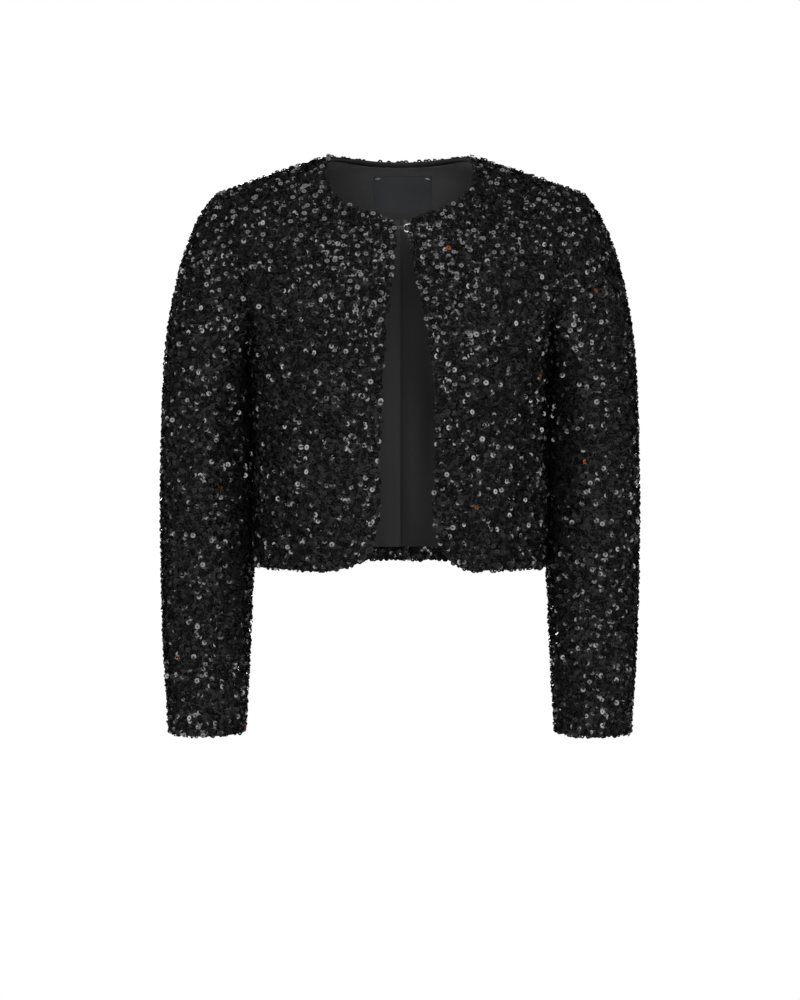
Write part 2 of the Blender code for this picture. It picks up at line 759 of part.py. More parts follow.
def label_sheet(back):
    """The blank label over the facing, a rectangle as seen from the front."""
    sheet = Sheet("neck_label")
    for row in range(LABEL_STEPS + 1):
        height = LABEL_FOOT + (LABEL_TOP - LABEL_FOOT) * row / LABEL_STEPS
        for column in range(LABEL_STEPS + 1):
            across = LABEL_LEFT + (LABEL_RIGHT - LABEL_LEFT) * column / LABEL_STEPS
            at_row = row_at(back, height, across)
            point, normal = on_back(back, at_row, column_at(back, at_row, across))
            sheet.add((0, row, column), point, normal)
    for row in range(LABEL_STEPS):
        for column in range(LABEL_STEPS):
            sheet.quad([(0, row, column), (0, row + 1, column),
                        (0, row + 1, column + 1), (0, row, column + 1)])
    return sheet


def neckline(fronts, back):
    """Sheets and keys along the neckline, from the left front round to the right front."""
    path = [(fronts[1], (1, row, 0)) for row in range(FRONT_NECK_ROW, SHOULDER_ROW)]
    path += [(back, back_key(1, row, 0)) for row in range(SHOULDER_ROW, BACK_NECK_ROW - 1, -1)]
    path += [(back, back_key(-1, row, 0)) for row in range(BACK_NECK_ROW + 1, SHOULDER_ROW + 1)]
    path += [(fronts[-1], (-1, row, 0)) for row in range(SHOULDER_ROW - 1, FRONT_NECK_ROW - 1, -1)]
    return path


def build_roll(fronts, back):
    """The rolled edge inside the neckline, an oval section swept along it."""
    near = {sheet.name: sheet.neighbours() for sheet in (*fronts.values(), back)}
    path = neckline(fronts, back)
    spots = [sheet.points[key] for sheet, key in path]
    rings = []
    for index, (sheet, key) in enumerate(path):
        point, rib = spots[index], sheet.ribs[key]
        before, after = spots[max(index - 1, 0)], spots[min(index + 1, len(spots) - 1)]
        along = (after - before).normalized()
        into_cloth = towards_cloth(sheet, near[sheet.name], key)
        out_of_neck = along.cross(rib).normalized()
        if out_of_neck.dot(into_cloth) > 0.0:
            out_of_neck = -out_of_neck
        height = roll_height(point)
        centre = point - rib * (CLOTH + ROLL_CLEARANCE + 0.5 * ROLL_DEPTH)
        centre += out_of_neck * (ROLL_STAND - 0.5 * height)
        if index in (0, len(path) - 1):
            centre += (spots[1] - spots[0] if index == 0 else spots[-2] - spots[-1]).normalized()
        ring = []
        for corner in range(ROLL_SIDES):
            turn = 2.0 * math.pi * (corner + 0.5) / ROLL_SIDES
            ring.append(centre + rib.normalized() * (0.5 * ROLL_DEPTH * math.cos(turn))
                        + out_of_neck * (0.5 * height * math.sin(turn)))
        rings.append(ring)
    faces = []
    for index in range(len(rings) - 1):
        for corner in range(ROLL_SIDES):
            after = (corner + 1) % ROLL_SIDES
            a, b = index * ROLL_SIDES + corner, index * ROLL_SIDES + after
            c, d = b + ROLL_SIDES, a + ROLL_SIDES
            faces += [(a, b, c), (a, c, d)]
    end = (len(rings) - 1) * ROLL_SIDES
    faces.append(tuple(reversed(range(ROLL_SIDES))))
    faces.append(tuple(range(end, end + ROLL_SIDES)))
    points = [point for ring in rings for point in ring]
    made = make_object("neck_roll", points, faces, "roll_cloth")
    face_outwards(made)
    return made


def face_outwards(made):
    """Turn a closed mesh's faces outwards where its volume comes out negative."""
    mesh = made.data
    mesh.calc_loop_triangles()
    volume = 0.0
    for triangle in mesh.loop_triangles:
        a, b, c = (mesh.vertices[index].co for index in triangle.vertices)
        volume += a.dot(b.cross(c))
    if volume < 0.0:
        mesh.flip_normals()


def wire(name, points, radius, finish_name):
    """A bent wire along points in millimetres."""
    curve = bpy.data.curves.new(name, "CURVE")
    curve.dimensions = "3D"
    curve.bevel_depth = radius * MM
    curve.bevel_resolution = 1
    curve.use_fill_caps = True
    spline = curve.splines.new("POLY")
    spline.points.add(len(points) - 1)
    for control, point in zip(spline.points, points):
        control.co = (*(point * MM), 1.0)
    curve.materials.append(material(finish_name))
    made = bpy.data.objects.new(name, curve)
    bpy.context.scene.collection.objects.link(made)
    return made


def arc(centre, radius, start, end, steps, plane):
    """Points of an arc in degrees, across and up, or across and in."""
    points = []
    for index in range(steps + 1):
        turn = math.radians(start + (end - start) * index / steps)
        u, v = radius * math.cos(turn), radius * math.sin(turn)
        points.append(centre + (Vector((u, v, 0)) if plane == "up" else Vector((u, 0, v))))
    return points


def eye_path():
    """Straight bar eye as (across, up, in), its bar standing in from its sewn loops."""
    loop_at = BAR_ACROSS + FASTENER_REACH - SEW_LOOP
    top = EYE_HALF_HEIGHT
    upper = [Vector((BAR_ACROSS, top - EYE_CORNER, BAR_DEPTH)),
             Vector((BAR_ACROSS + EYE_CORNER, top, BAR_DEPTH)),
             Vector((loop_at - SEW_LOOP - EYE_RAMP, top, EYE_WIRE)),
             Vector((loop_at, top, EYE_WIRE))]
    upper += arc(Vector((loop_at, top + SEW_LOOP, EYE_WIRE)), SEW_LOOP, -90, 170, 7, "up")[1:]
    return [Vector((p.x, -p.y, p.z)) for p in reversed(upper)] + upper


def hook_path():
    """Hook of doubled wire as (across, up, in), bent round the bar towards the body."""
    gap = BAR_DEPTH - HOOK_WIRE
    sewn = Vector((BAR_ACROSS - FASTENER_REACH - SEW_LOOP, HOOK_HALF_SPAN + SEW_LOOP, HOOK_WIRE))
    upper = arc(sewn, SEW_LOOP, -350, -90, 7, "up")
    upper += arc(Vector((BAR_ACROSS, HOOK_HALF_SPAN, BAR_DEPTH)), gap, -90, 90, 6, "in")
    tip = Vector((BAR_ACROSS - HOOK_RETURN, HOOK_HALF_SPAN, BAR_DEPTH + gap))
    nose = Vector((tip.x - HOOK_NOSE, 0, tip.z))
    lower = [Vector((p.x, -p.y, p.z)) for p in reversed(upper + [tip])]
    return upper + [tip, nose] + lower


def inner_surface(fronts):
    """The inside faces of both fronts as a tree that can be searched."""
    points, quads = [], []
    for sheet in fronts.values():
        number = {key: len(points) + index for index, key in enumerate(sheet.points)}
        points += [sheet.points[key] - sheet.ribs[key] * CLOTH for key in sheet.points]
        quads += [tuple(number[key] for key in quad) for quad in sheet.quads]
    return BVHTree.FromPolygons(points, quads)


def build_fastener(fronts):
    """Hook and eye in the slope of the fronts' upper edges, just inside them."""
    edges = [sheet.points[(side, row, 0)] - sheet.ribs[(side, row, 0)] * CLOTH
             for side, sheet in fronts.items() for row in (FRONT_NECK_ROW - 1, FRONT_NECK_ROW)]
    low, high = (edges[0] + edges[2]) * 0.5, (edges[1] + edges[3]) * 0.5
    up = high - low
    middle = low + up * ((FASTENER_HEIGHT - low.z) / up.z)
    middle.x = up.x = 0.0
    up.normalize()
    inward = Vector((1, 0, 0)).cross(up) * -1.0
    if inward.y < 0.0:
        inward = -inward
    inside = inner_surface(fronts)
    wires = {
        "neck_eye": (eye_path(), EYE_WIRE, "bright_steel"),
        "neck_hook": (hook_path(), HOOK_WIRE, "black_steel"),
    }
    placed, lifts = {}, []
    for name, (path, radius, _) in wires.items():
        points = [middle + Vector((p.x, 0, 0)) + up * p.y + inward * p.z for p in path]
        placed[name] = points
        for point in points:
            hit = inside.ray_cast(point + inward * SEARCH_REACH, -inward)[0]
            if hit:
                lifts.append(radius + FASTENER_CLEARANCE - (point - hit).dot(inward))
    lift = max(lifts)
    for name, (_, radius, finish_name) in wires.items():
        wire(name, [point + inward * lift for point in placed[name]], radius, finish_name)


def main():
    """Build every piece of the jacket."""
    for old in list(bpy.data.objects):
        bpy.data.objects.remove(old, do_unlink=True)

    front_panels = {side: FrontPanel(side) for side in (1, -1)}
    back_halves = {
        side: HalfPanel("back", BACK_UPPER, 1, BACK_NECK_ROW, side) for side in (1, -1)
    }
    fronts = {side: front_sheet(panel) for side, panel in front_panels.items()}
    back = back_sheet(back_halves)
    sleeves = {side: sleeve_sheet(side, front_panels[side], back_halves[side]) for side in (1, -1)}
    facing = facing_sheet(back)
    lining = lining_sheet(back)
    label = label_sheet(back)
    part_seams([*fronts.values(), back, *(sheet for sheet, _ in sleeves.values())])

    for sheet in (*fronts.values(), back):
        wall(sheet, lambda key: 0.0, cloth_depth, "sequin_cloth")
    for sheet, rings in sleeves.values():
        wall(sheet, lambda key: 0.0,
             lambda key: CLOTH + (TURN_UP if key[1] >= rings - CUFF_RINGS else 0.0),
             "sequin_cloth")
    facing_depth = CLOTH + SEAM_GAP
    wall(facing, lambda key: facing_depth, lambda key: facing_depth + THIN_CLOTH, "facing_cloth")
    wall(lining, lambda key: -0.5 * THIN_CLOTH, lambda key: 0.5 * THIN_CLOTH, "lining_satin")
    label_depth = facing_depth + THIN_CLOTH + LABEL_GAP
    wall(label, lambda key: label_depth, lambda key: label_depth + THIN_CLOTH, "label_weave")
    build_roll(fronts, back)
    build_fastener(fronts)


main()
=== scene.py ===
"""Looks of the black sequinned bolero jacket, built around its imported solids.

Metres, in the frame of the solids: +X to the wearer's left, the front towards -Y, +Z up.
The sequinned panels are shells on the outer faces of their solids, and one Geometry Nodes
tree scatters the sequins over them. The plain pieces are their own solids, rounded.
"""
import logging
import math
from dataclasses import dataclass, field, fields
from enum import Enum
from typing import Any, Callable, NamedTuple

import bmesh
import bpy
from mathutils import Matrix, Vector
from mathutils.kdtree import KDTree


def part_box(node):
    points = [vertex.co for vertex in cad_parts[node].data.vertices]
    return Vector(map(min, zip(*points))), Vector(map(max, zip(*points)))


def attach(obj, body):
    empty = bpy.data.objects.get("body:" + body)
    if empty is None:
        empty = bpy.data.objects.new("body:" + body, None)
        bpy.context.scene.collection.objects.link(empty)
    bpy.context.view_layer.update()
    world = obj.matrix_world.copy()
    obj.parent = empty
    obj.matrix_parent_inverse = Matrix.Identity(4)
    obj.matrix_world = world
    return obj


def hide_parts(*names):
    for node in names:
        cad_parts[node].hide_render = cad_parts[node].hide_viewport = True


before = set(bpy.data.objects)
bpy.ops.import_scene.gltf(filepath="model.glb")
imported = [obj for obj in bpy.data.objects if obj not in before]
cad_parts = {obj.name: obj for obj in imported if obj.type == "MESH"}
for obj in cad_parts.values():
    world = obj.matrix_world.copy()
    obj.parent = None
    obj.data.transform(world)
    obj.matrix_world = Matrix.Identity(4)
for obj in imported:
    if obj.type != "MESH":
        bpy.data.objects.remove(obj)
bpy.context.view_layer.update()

Colour = tuple[float, float, float]

BODY = "root"
# Attribute of hollowness by which the lining's colour is darkened as painted shade.
PAINTED_SHADE = "hollow"
SMOOTHING = 2
RIM_ANGLE = math.radians(42.0)
WALL_RIM_ANGLE = math.radians(60.0)
MERGE = 1e-6
GRID_INFLUENCE = 3.0
WIDE_PANEL = 0.2
GLOSSY_FROM = 0.6
NECK_SEED_STEP = 7
BAND_PITCH = 0.314

log = logging.getLogger("bolero_jacket")


# Shader maths

class Wire:
    """One socket of a material's tree, with arithmetic that adds Math nodes."""

    def __init__(self, graph: "Graph", socket: bpy.types.NodeSocket) -> None:
        """Hold a socket and the graph that it belongs to."""
        self.graph = graph
        self.socket = socket

    def _math(self, operation: str, first: Any, second: Any) -> "Wire":
        """Add one Math node on two values or sockets."""
        return self.graph.add("ShaderNodeMath", {"operation": operation}, {0: first, 1: second})

    def __add__(self, other: Any) -> "Wire":
        """self + other."""
        return self._math("ADD", self, other)

    __radd__ = __add__

    def __mul__(self, other: Any) -> "Wire":
        """self * other."""
        return self._math("MULTIPLY", self, other)

    __rmul__ = __mul__

    def __gt__(self, other: Any) -> "Wire":
        """1 where self is over other, else 0."""
        return self._math("GREATER_THAN", self, other)


class Graph:
    """A material with a Principled shader, and one method for every other node."""

    def __init__(self, name: str) -> None:
        """Make an empty Principled material of this name."""
        self.material = bpy.data.materials.new(name)
        self.material.use_nodes = True
        self.tree = self.material.node_tree
        self.shader = self.tree.nodes["Principled BSDF"]

    def feed(self, socket: bpy.types.NodeSocket, value: Any) -> None:
        """Link a wire to a socket, or set the socket's own value.

        Args:
            socket: The input socket.
            value: A wire, or a value of the socket's kind.
        """
        if isinstance(value, Wire):
            self.tree.links.new(value.socket, socket)
        else:
            socket.default_value = value

    def add(self, kind: str, settings: dict[str, Any], inputs: dict[Any, Any],
            output: str | int = 0) -> Wire:
        """Add a node.

        Args:
            kind: The node's type name.
            settings: Attributes that are set before its sockets, such as an operation.
            inputs: Values or wires for its sockets, by name or number.
            output: The output socket that is wanted.

        Returns:
            The wire of that output.
        """
        node = self.tree.nodes.new(kind)
        stops = settings.pop("stops", None)
        for name, value in settings.items():
            setattr(node, name, value)
        if stops:
            ramp = node.color_ramp
            for index, (place, colour) in enumerate(stops):
                stop = ramp.elements[index] if index < 2 else ramp.elements.new(place)
                stop.position = place
                stop.color = (*colour, 1.0)
        for name, value in inputs.items():
            self.feed(node.inputs[name], value)
        return Wire(self, node.outputs[output])

    def place(self) -> Wire:
        """Object coordinates, in metres."""
        return self.add("ShaderNodeTexCoord", {}, {}, "Object")

    def own(self, attribute: str) -> Wire:
        """A number that the piece keeps in an attribute of its own."""
        return self.add("ShaderNodeAttribute", {"attribute_name": attribute}, {}, "Fac")

    def noise(self, scale: float, detail: float = 3.0) -> Wire:
        """Noise of this many waves a metre."""
        return self.add("ShaderNodeTexNoise", {}, {
            "Vector": self.place(), "Scale": scale, "Detail": detail})

    def threads(self, pitch: float, turn: tuple[float, float, float] = (0.0, 0.0, 0.0)) -> Wire:
        """Threads of this pitch in metres, laid along a turned axis."""
        turned = self.add("ShaderNodeMapping", {}, {"Vector": self.place(), "Rotation": turn})
        return self.add("ShaderNodeTexWave", {"wave_type": "BANDS", "bands_direction": "Z"}, {
            "Vector": turned, "Scale": BAND_PITCH / pitch, "Distortion": 0.6, "Detail": 1.0})

    def ramp(self, value: Wire, *stops: tuple[float, Colour]) -> Wire:
        """A colour ramp on a value."""
        return self.add("ShaderNodeValToRGB", {"stops": stops}, {"Fac": value})

    def blend(self, factor: Wire, first: Wire, second: Colour) -> Wire:
        """The first colour, turned to the second by a factor."""
        return self.add("ShaderNodeMix", {"data_type": "RGBA"}, {
            "Factor": factor, 6: first, 7: (*second, 1.0)}, 2)

    def bump(self, height: Wire, strength: float, distance: float) -> None:
        """Raise the surface by a height."""
        normal = self.add("ShaderNodeBump", {}, {
            "Height": height, "Strength": strength, "Distance": distance})
        self.feed(self.shader.inputs["Normal"], normal)

    def set(self, **values: Any) -> None:
        """Feed the shader's sockets, named with underscores for spaces."""
        for name, value in values.items():
            self.feed(self.shader.inputs[name.replace("_", " ")], value)


# Finishes

@dataclass(frozen=True)
class ClothFinish:
    """Plain woven cloth.

    It is dark in the hollows of its weave and light on its threads. by_thread is the share
    of that change of tone that follows the threads, uneven is how much the roughness
    differs from spot to spot, and shade is how far painted shade turns the colour to black
    where the piece stores its deepest hollows. pitch and relief are the spacing and height
    of the threads.
    """

    name: str
    dark: Colour
    light: Colour
    roughness: float
    pitch: float
    relief: float
    sheen: float
    gloss: float = 0.3
    by_thread: float = 0.45
    uneven: float = 0.12
    shade: float = 0.9

    def material(self) -> bpy.types.Material:
        """Build the material with its weave, a slow change of tone and painted shade where the piece
        stores hollowness.

        Returns:
            The material.
        """
        graph = Graph(self.name)
        across = (math.radians(90.0), 0.0, math.radians(35.0))
        weave = (graph.threads(self.pitch) + graph.threads(self.pitch, across)) * 0.5
        tone = weave * self.by_thread + graph.noise(scale=38.0) * (1.0 - self.by_thread)
        cloth = graph.ramp(tone, (0.3, self.dark), (0.72, self.light))
        graph.set(
            # Painted shade: the colour turns towards black by the hollowness stored on the piece.
            Base_Color=graph.blend(graph.own(PAINTED_SHADE) * self.shade, cloth, (0.0, 0.0, 0.0)),
            Roughness=graph.noise(scale=160.0) * self.uneven + (self.roughness - 0.5 * self.uneven),
            Sheen_Weight=self.sheen,
            Specular_IOR_Level=self.gloss,
        )
        graph.bump(weave, strength=0.6, distance=self.relief)
        return graph.material


@dataclass(frozen=True)
class SequinFinish:
    """Black cupped sequins with a few copper ones among them.

    Each sequin keeps a random value of its own in the attribute. It sets the sequin's black
    and its gloss, and over copper_from the sequin is copper. polish is how much smoother a
    glossy one is, and film is how much a thin film changes the roughness.
    """

    name: str
    attribute: str
    copper_from: float
    copper: Colour = (0.62, 0.2, 0.05)
    blacks: tuple[tuple[float, Colour], ...] = (
        (0.0, (0.0016, 0.0016, 0.0018)), (0.55, (0.0026, 0.0026, 0.0028)),
        (0.9, (0.0045, 0.0045, 0.0048)), (1.0, (0.007, 0.007, 0.0073)))
    roughness: float = 0.17
    polish: float = 0.08
    film: float = 0.05

    def material(self) -> bpy.types.Material:
        """Build the glossy material, with tone and gloss that differ by sequin.

        Returns:
            The material.
        """
        graph = Graph(self.name)
        own = graph.own(self.attribute)
        is_copper = own > self.copper_from
        film = graph.noise(scale=900.0, detail=2.0)
        graph.set(
            Base_Color=graph.blend(is_copper, graph.ramp(own, *self.blacks), self.copper),
            Metallic=is_copper * 0.85,
            Roughness=(own > GLOSSY_FROM) * -self.polish + film * self.film + self.roughness,
            Specular_IOR_Level=0.3,
        )
        graph.bump(film, strength=0.06, distance=0.0001)
        return graph.material


@dataclass(frozen=True)
class LabelFinish:
    """Blank woven label with fine cross ribs.

    It is dark between its ribs and light on them, and rib is their spacing.
    """

    name: str
    rib: float
    dark: Colour
    light: Colour

    def material(self) -> bpy.types.Material:
        """Build the cool dark grey weave.

        Returns:
            The material.
        """
        graph = Graph(self.name)
        cross = graph.threads(self.rib * 1.3, (0.0, math.radians(90.0), 0.0))
        weave = graph.threads(self.rib) * 0.7 + cross * 0.3
        tone = weave * 0.6 + graph.noise(scale=60.0) * 0.4
        graph.set(
            Base_Color=graph.ramp(tone, (0.25, self.dark), (0.75, self.light)),
            Roughness=graph.noise(scale=220.0) * 0.15 + 0.5,
            Specular_IOR_Level=0.3,
        )
        graph.bump(weave, strength=0.7, distance=0.00012)
        return graph.material


@dataclass(frozen=True)
class WireFinish:
    """Plated or lacquered wire.

    worn is the brightness of its drawing marks, as a share.
    """

    name: str
    colour: Colour
    metallic: float
    worn: float = 0.72

    def material(self) -> bpy.types.Material:
        """Build the metal with faint drawing marks.

        Returns:
            The material.
        """
        graph = Graph(self.name)
        marks = graph.noise(scale=1800.0, detail=4.0)
        worn = tuple(self.worn * channel for channel in self.colour)
        graph.set(
            Base_Color=graph.ramp(marks, (0.32, worn), (0.6, self.colour)),
            Metallic=self.metallic,
            Roughness=marks * 0.2 + 0.2,
        )
        graph.bump(marks, strength=0.1, distance=0.00005)
        return graph.material


@dataclass(frozen=True)
class StageFinish:
    """Pale matt paper of the studio.

    shaded is the brightness of its darker grain, as a share. evenness is how much of it
    looks evenly lit to the camera.
    """

    name: str
    colour: Colour
    shaded: float = 0.985
    evenness: float = 0.8
    even: tuple[float, float, float, float] = (0.9, 0.9, 0.9, 1.0)

    def material(self) -> bpy.types.Material:
        """Build the plain pale surface.

        Returns:
            The material.
        """
        graph = Graph(self.name)
        shaded = tuple(self.shaded * channel for channel in self.colour)
        graph.set(Base_Color=graph.ramp(graph.noise(scale=6.0), (0.3, shaded), (0.7, self.colour)),
                  Roughness=0.9)
        seen = graph.add("ShaderNodeLightPath", {}, {}, "Is Camera Ray")
        even = graph.add("ShaderNodeEmission", {}, {"Color": self.even})
        paper = Wire(graph, graph.shader.outputs[0])
        mixed = graph.add("ShaderNodeMixShader", {}, {
            "Fac": seen * self.evenness, 1: paper, 2: even})
        graph.feed(graph.tree.nodes["Material Output"].inputs["Surface"], mixed)
        return graph.material


class Finish(Enum):
    """The finishes of the jacket and its studio."""

    GROUND = ClothFinish("sequin_ground", (0.0015, 0.0015, 0.0017), (0.004, 0.004, 0.0042),
                         0.72, 0.0011, 0.00022, 0.0)
    INNER = ClothFinish("inner_cloth", (0.018, 0.018, 0.019), (0.027, 0.027, 0.028),
                        0.6, 0.0007, 0.00005, 0.1)
    # The lining's colour is darkened further by painted shade where its fold relief stores
    # hollowness.
    LINING = ClothFinish("smooth_lining", (0.077, 0.077, 0.0775), (0.083, 0.083, 0.0835),
                         0.6, 0.0006, 0.00001, 0.02, 0.12)
    FACING = ClothFinish("plain_facing", (0.018, 0.018, 0.0182), (0.029, 0.029, 0.0292),
                         0.68, 0.0008, 0.00007, 0.1)
    ROLL = ClothFinish("rolled_cloth", (0.003, 0.003, 0.003), (0.007, 0.007, 0.007),
                       0.75, 0.0008, 0.00006, 0.0)
    THREAD = ClothFinish("label_thread", (0.2, 0.2, 0.2), (0.42, 0.42, 0.41),
                         0.6, 0.0003, 0.00003, 0.2)
    SEQUIN = SequinFinish("black_sequins", "own_value", 0.9991)
    LABEL = LabelFinish("ribbed_label", 0.0006, (0.0124, 0.0130, 0.0147), (0.0205, 0.0214, 0.0238))
    STEEL = WireFinish("bright_wire", (0.62, 0.62, 0.62), 1.0)
    LACQUER = WireFinish("black_lacquered_wire", (0.02, 0.02, 0.02), 0.3)
    PAPER = StageFinish("studio_paper", (0.86, 0.86, 0.86))

    def dress(self, piece: bpy.types.Object) -> None:
        """Add this finish to a piece as its next material."""
        piece.data.materials.append(self.made())

    def made(self) -> bpy.types.Material:
        """The material of this finish, built once."""
        return bpy.data.materials.get(self.value.name) or self.value.material()


# Meshes and pieces

def as_mesh(shell: bmesh.types.BMesh, name: str) -> bpy.types.Mesh:
    """Write a shell to a new mesh and free it.

    Args:
        shell: The shell.
        name: Name of the mesh.

    Returns:
        The mesh.
    """
    mesh = bpy.data.meshes.new(name)
    shell.to_mesh(mesh)
    shell.free()
    return mesh


def new_piece(name: str, mesh: bpy.types.Mesh) -> bpy.types.Object:
    """Link a mesh to the scene.

    Args:
        name: Name of the piece.
        mesh: Its mesh.

    Returns:
        The piece, at the origin.
    """
    piece = bpy.data.objects.new(name, mesh)
    bpy.context.scene.collection.objects.link(piece)
    return piece


def evaluated(piece: bpy.types.Object) -> bpy.types.Mesh:
    """Apply a piece's modifiers and remove them.

    Args:
        piece: The piece, whose own mesh stays as it is.

    Returns:
        The new mesh.
    """
    bpy.context.view_layer.update()
    depsgraph = bpy.context.evaluated_depsgraph_get()
    mesh = bpy.data.meshes.new_from_object(piece.evaluated_get(depsgraph))
    piece.modifiers.clear()
    return mesh


def seat(piece: bpy.types.Object, node: str = "") -> None:
    """Fix a piece to the body.

    Args:
        piece: The piece.
        node: The solid that it replaces, if it replaces one.
    """
    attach(piece, BODY)
    if node:
        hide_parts(node)


def area_of(mesh: bpy.types.Mesh) -> float:
    """Area of a mesh in square metres."""
    return sum(polygon.area for polygon in mesh.polygons)


def between(axis: int, low: float, high: float) -> Callable[[Vector], bool]:
    """Whether a point lies between two values along an axis."""
    return lambda point: low <= point[axis] < high


def keep_faces(mesh: bpy.types.Mesh, wanted: Callable[[Vector], bool]) -> None:
    """Delete the faces of a mesh that aren't wanted.

    Args:
        mesh: The mesh.
        wanted: Says of a face's middle whether the face stays.
    """
    shell = bmesh.new()
    shell.from_mesh(mesh)
    gone = [face for face in shell.faces if not wanted(face.calc_center_median())]
    bmesh.ops.delete(shell, geom=gone, context="FACES")
    shell.to_mesh(mesh)
    shell.free()


def press(mesh: bpy.types.Mesh, depths: list[float]) -> None:
    """Press the points of a mesh in, against their normals.

    Args:
        mesh: The mesh.
        depths: How far each point moves.
    """
    places = [vertex.co - vertex.normal * depth for vertex, depth in zip(mesh.vertices, depths)]
    for vertex, place in zip(mesh.vertices, places):
        vertex.co = place
    mesh.update()


def thicken(piece: bpy.types.Object, thickness: float, inner_material: int) -> None:
    """Give an open sheet a wall on its inner side.

    Args:
        piece: The sheet.
        thickness: Thickness of the wall.
        inner_material: Which of the piece's materials the inner side has.
    """
    modifier = piece.modifiers.new("wall", "SOLIDIFY")
    modifier.thickness = thickness
    modifier.offset = -1.0
    modifier.use_even_offset = False
    modifier.material_offset = inner_material
    piece.data = evaluated(piece)
    piece.data.shade_smooth()
    piece.data.set_sharp_from_angle(angle=WALL_RIM_ANGLE)


# Cloth taken from the solids

def merged_wall(node: str) -> bmesh.types.BMesh:
    """Merge the points of a node's mesh and pair its triangles into quads.

    Args:
        node: The solid's node.

    Returns:
        Its wall.
    """
    wall = bmesh.new()
    wall.from_mesh(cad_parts[node].data)
    bmesh.ops.remove_doubles(wall, verts=wall.verts[:], dist=MERGE)
    bmesh.ops.join_triangles(
        wall, faces=wall.faces[:], angle_face_threshold=RIM_ANGLE,
        angle_shape_threshold=math.pi, topology_influence=GRID_INFLUENCE)
    return wall


def outer_face(wall: bmesh.types.BMesh) -> set[bmesh.types.BMFace]:
    """Find the largest group of faces that run on smoothly.

    Args:
        wall: A wall that bulges out, so that its outside is its largest face.

    Returns:
        The faces of its outside.
    """
    groups, seen = [], set()
    for first in wall.faces:
        if first in seen:
            continue
        group, stack = {first}, [first]
        while stack:
            for edge in stack.pop().edges:
                if edge.calc_face_angle(math.pi) > RIM_ANGLE:
                    continue
                fresh = set(edge.link_faces) - group
                group |= fresh
                stack.extend(fresh)
        seen |= group
        groups.append(group)
    return max(groups, key=lambda faces: sum(face.calc_area() for face in faces))


def rounded(shell: bmesh.types.BMesh, name: str) -> bpy.types.Object:
    """Make a shell a smooth piece by subdividing it, with its corners kept.

    Args:
        shell: The shell.
        name: Name of the piece.

    Returns:
        The piece.
    """
    piece = new_piece(name, as_mesh(shell, name))
    modifier = piece.modifiers.new("refine", "SUBSURF")
    modifier.levels = modifier.render_levels = SMOOTHING
    modifier.boundary_smooth = "PRESERVE_CORNERS"
    piece.data = evaluated(piece)
    piece.data.shade_smooth()
    return piece


def open_sheet(node: str) -> bpy.types.Object:
    """Take the outside of a node's wall as an open, smooth sheet.

    Args:
        node: The solid's node.

    Returns:
        The sheet.
    """
    wall = merged_wall(node)
    kept = outer_face(wall)
    bmesh.ops.delete(wall, geom=[face for face in wall.faces if face not in kept], context="FACES")
    loose = [vert for vert in wall.verts if not vert.link_faces]
    bmesh.ops.delete(wall, geom=loose, context="VERTS")
    return rounded(wall, f"{node}_sheet")


def closed_wall(node: str, name: str) -> bpy.types.Object:
    """Round a node's whole wall between its creased rims.

    Args:
        node: The solid's node.
        name: Name of the piece.

    Returns:
        The piece.
    """
    wall = merged_wall(node)
    layers = wall.edges.layers.float
    crease = layers.get("crease_edge") or layers.new("crease_edge")
    for edge in wall.edges:
        edge[crease] = 1.0 if edge.calc_face_angle(0.0) > RIM_ANGLE else 0.0
    return rounded(wall, name)


def rim_distance(mesh: bpy.types.Mesh, reach: int = 4, free: float = 0.03) -> list[float]:
    """Measure how far each point lies from the sides and armholes of a sheet.

    Args:
        mesh: The sheet.
        reach: Number of edges that counts as far.
        free: Height of the strip at the hem that a crease may run out through.

    Returns:
        For each point 0 at such a rim, rising to 1 a few edges in.
    """
    shell = bmesh.new()
    shell.from_mesh(mesh)
    shell.verts.ensure_lookup_table()
    foot = min(vertex.co.z for vertex in shell.verts)
    steps = [reach] * len(shell.verts)
    edge = [vertex for vertex in shell.verts if vertex.is_boundary and vertex.co.z > foot + free]
    for vertex in edge:
        steps[vertex.index] = 0
    for step in range(1, reach):
        after = []
        for vertex in edge:
            for link in vertex.link_edges:
                other = link.other_vert(vertex)
                if steps[other.index] > step:
                    steps[other.index] = step
                    after.append(other)
        edge = after
    shell.free()
    return [step / reach for step in steps]


@dataclass(frozen=True)
class Crease:
    """A soft trough, or a ridge where its depth is negative, in metres and degrees.

    start and end are (across, height), or (degrees round the arm, height) on a sleeve.
    width is half the width of the trough, and depth is that at its middle.
    """

    start: tuple[float, float]
    end: tuple[float, float]
    width: float
    depth: float

    def depth_at(self, spot: Vector) -> float:
        """Work out how deep the crease is at a flat spot.

        Args:
            spot: The spot, in metres.

        Returns:
            Its depth there.
        """
        start, end = Vector(self.start), Vector(self.end)
        run = end - start
        share = (spot - start).dot(run) / run.length_squared
        if not 0.0 < share < 1.0:
            return 0.0
        away = (spot - start - run * share).length / self.width
        return self.depth * math.exp(-away * away) * math.sin(math.pi * share)


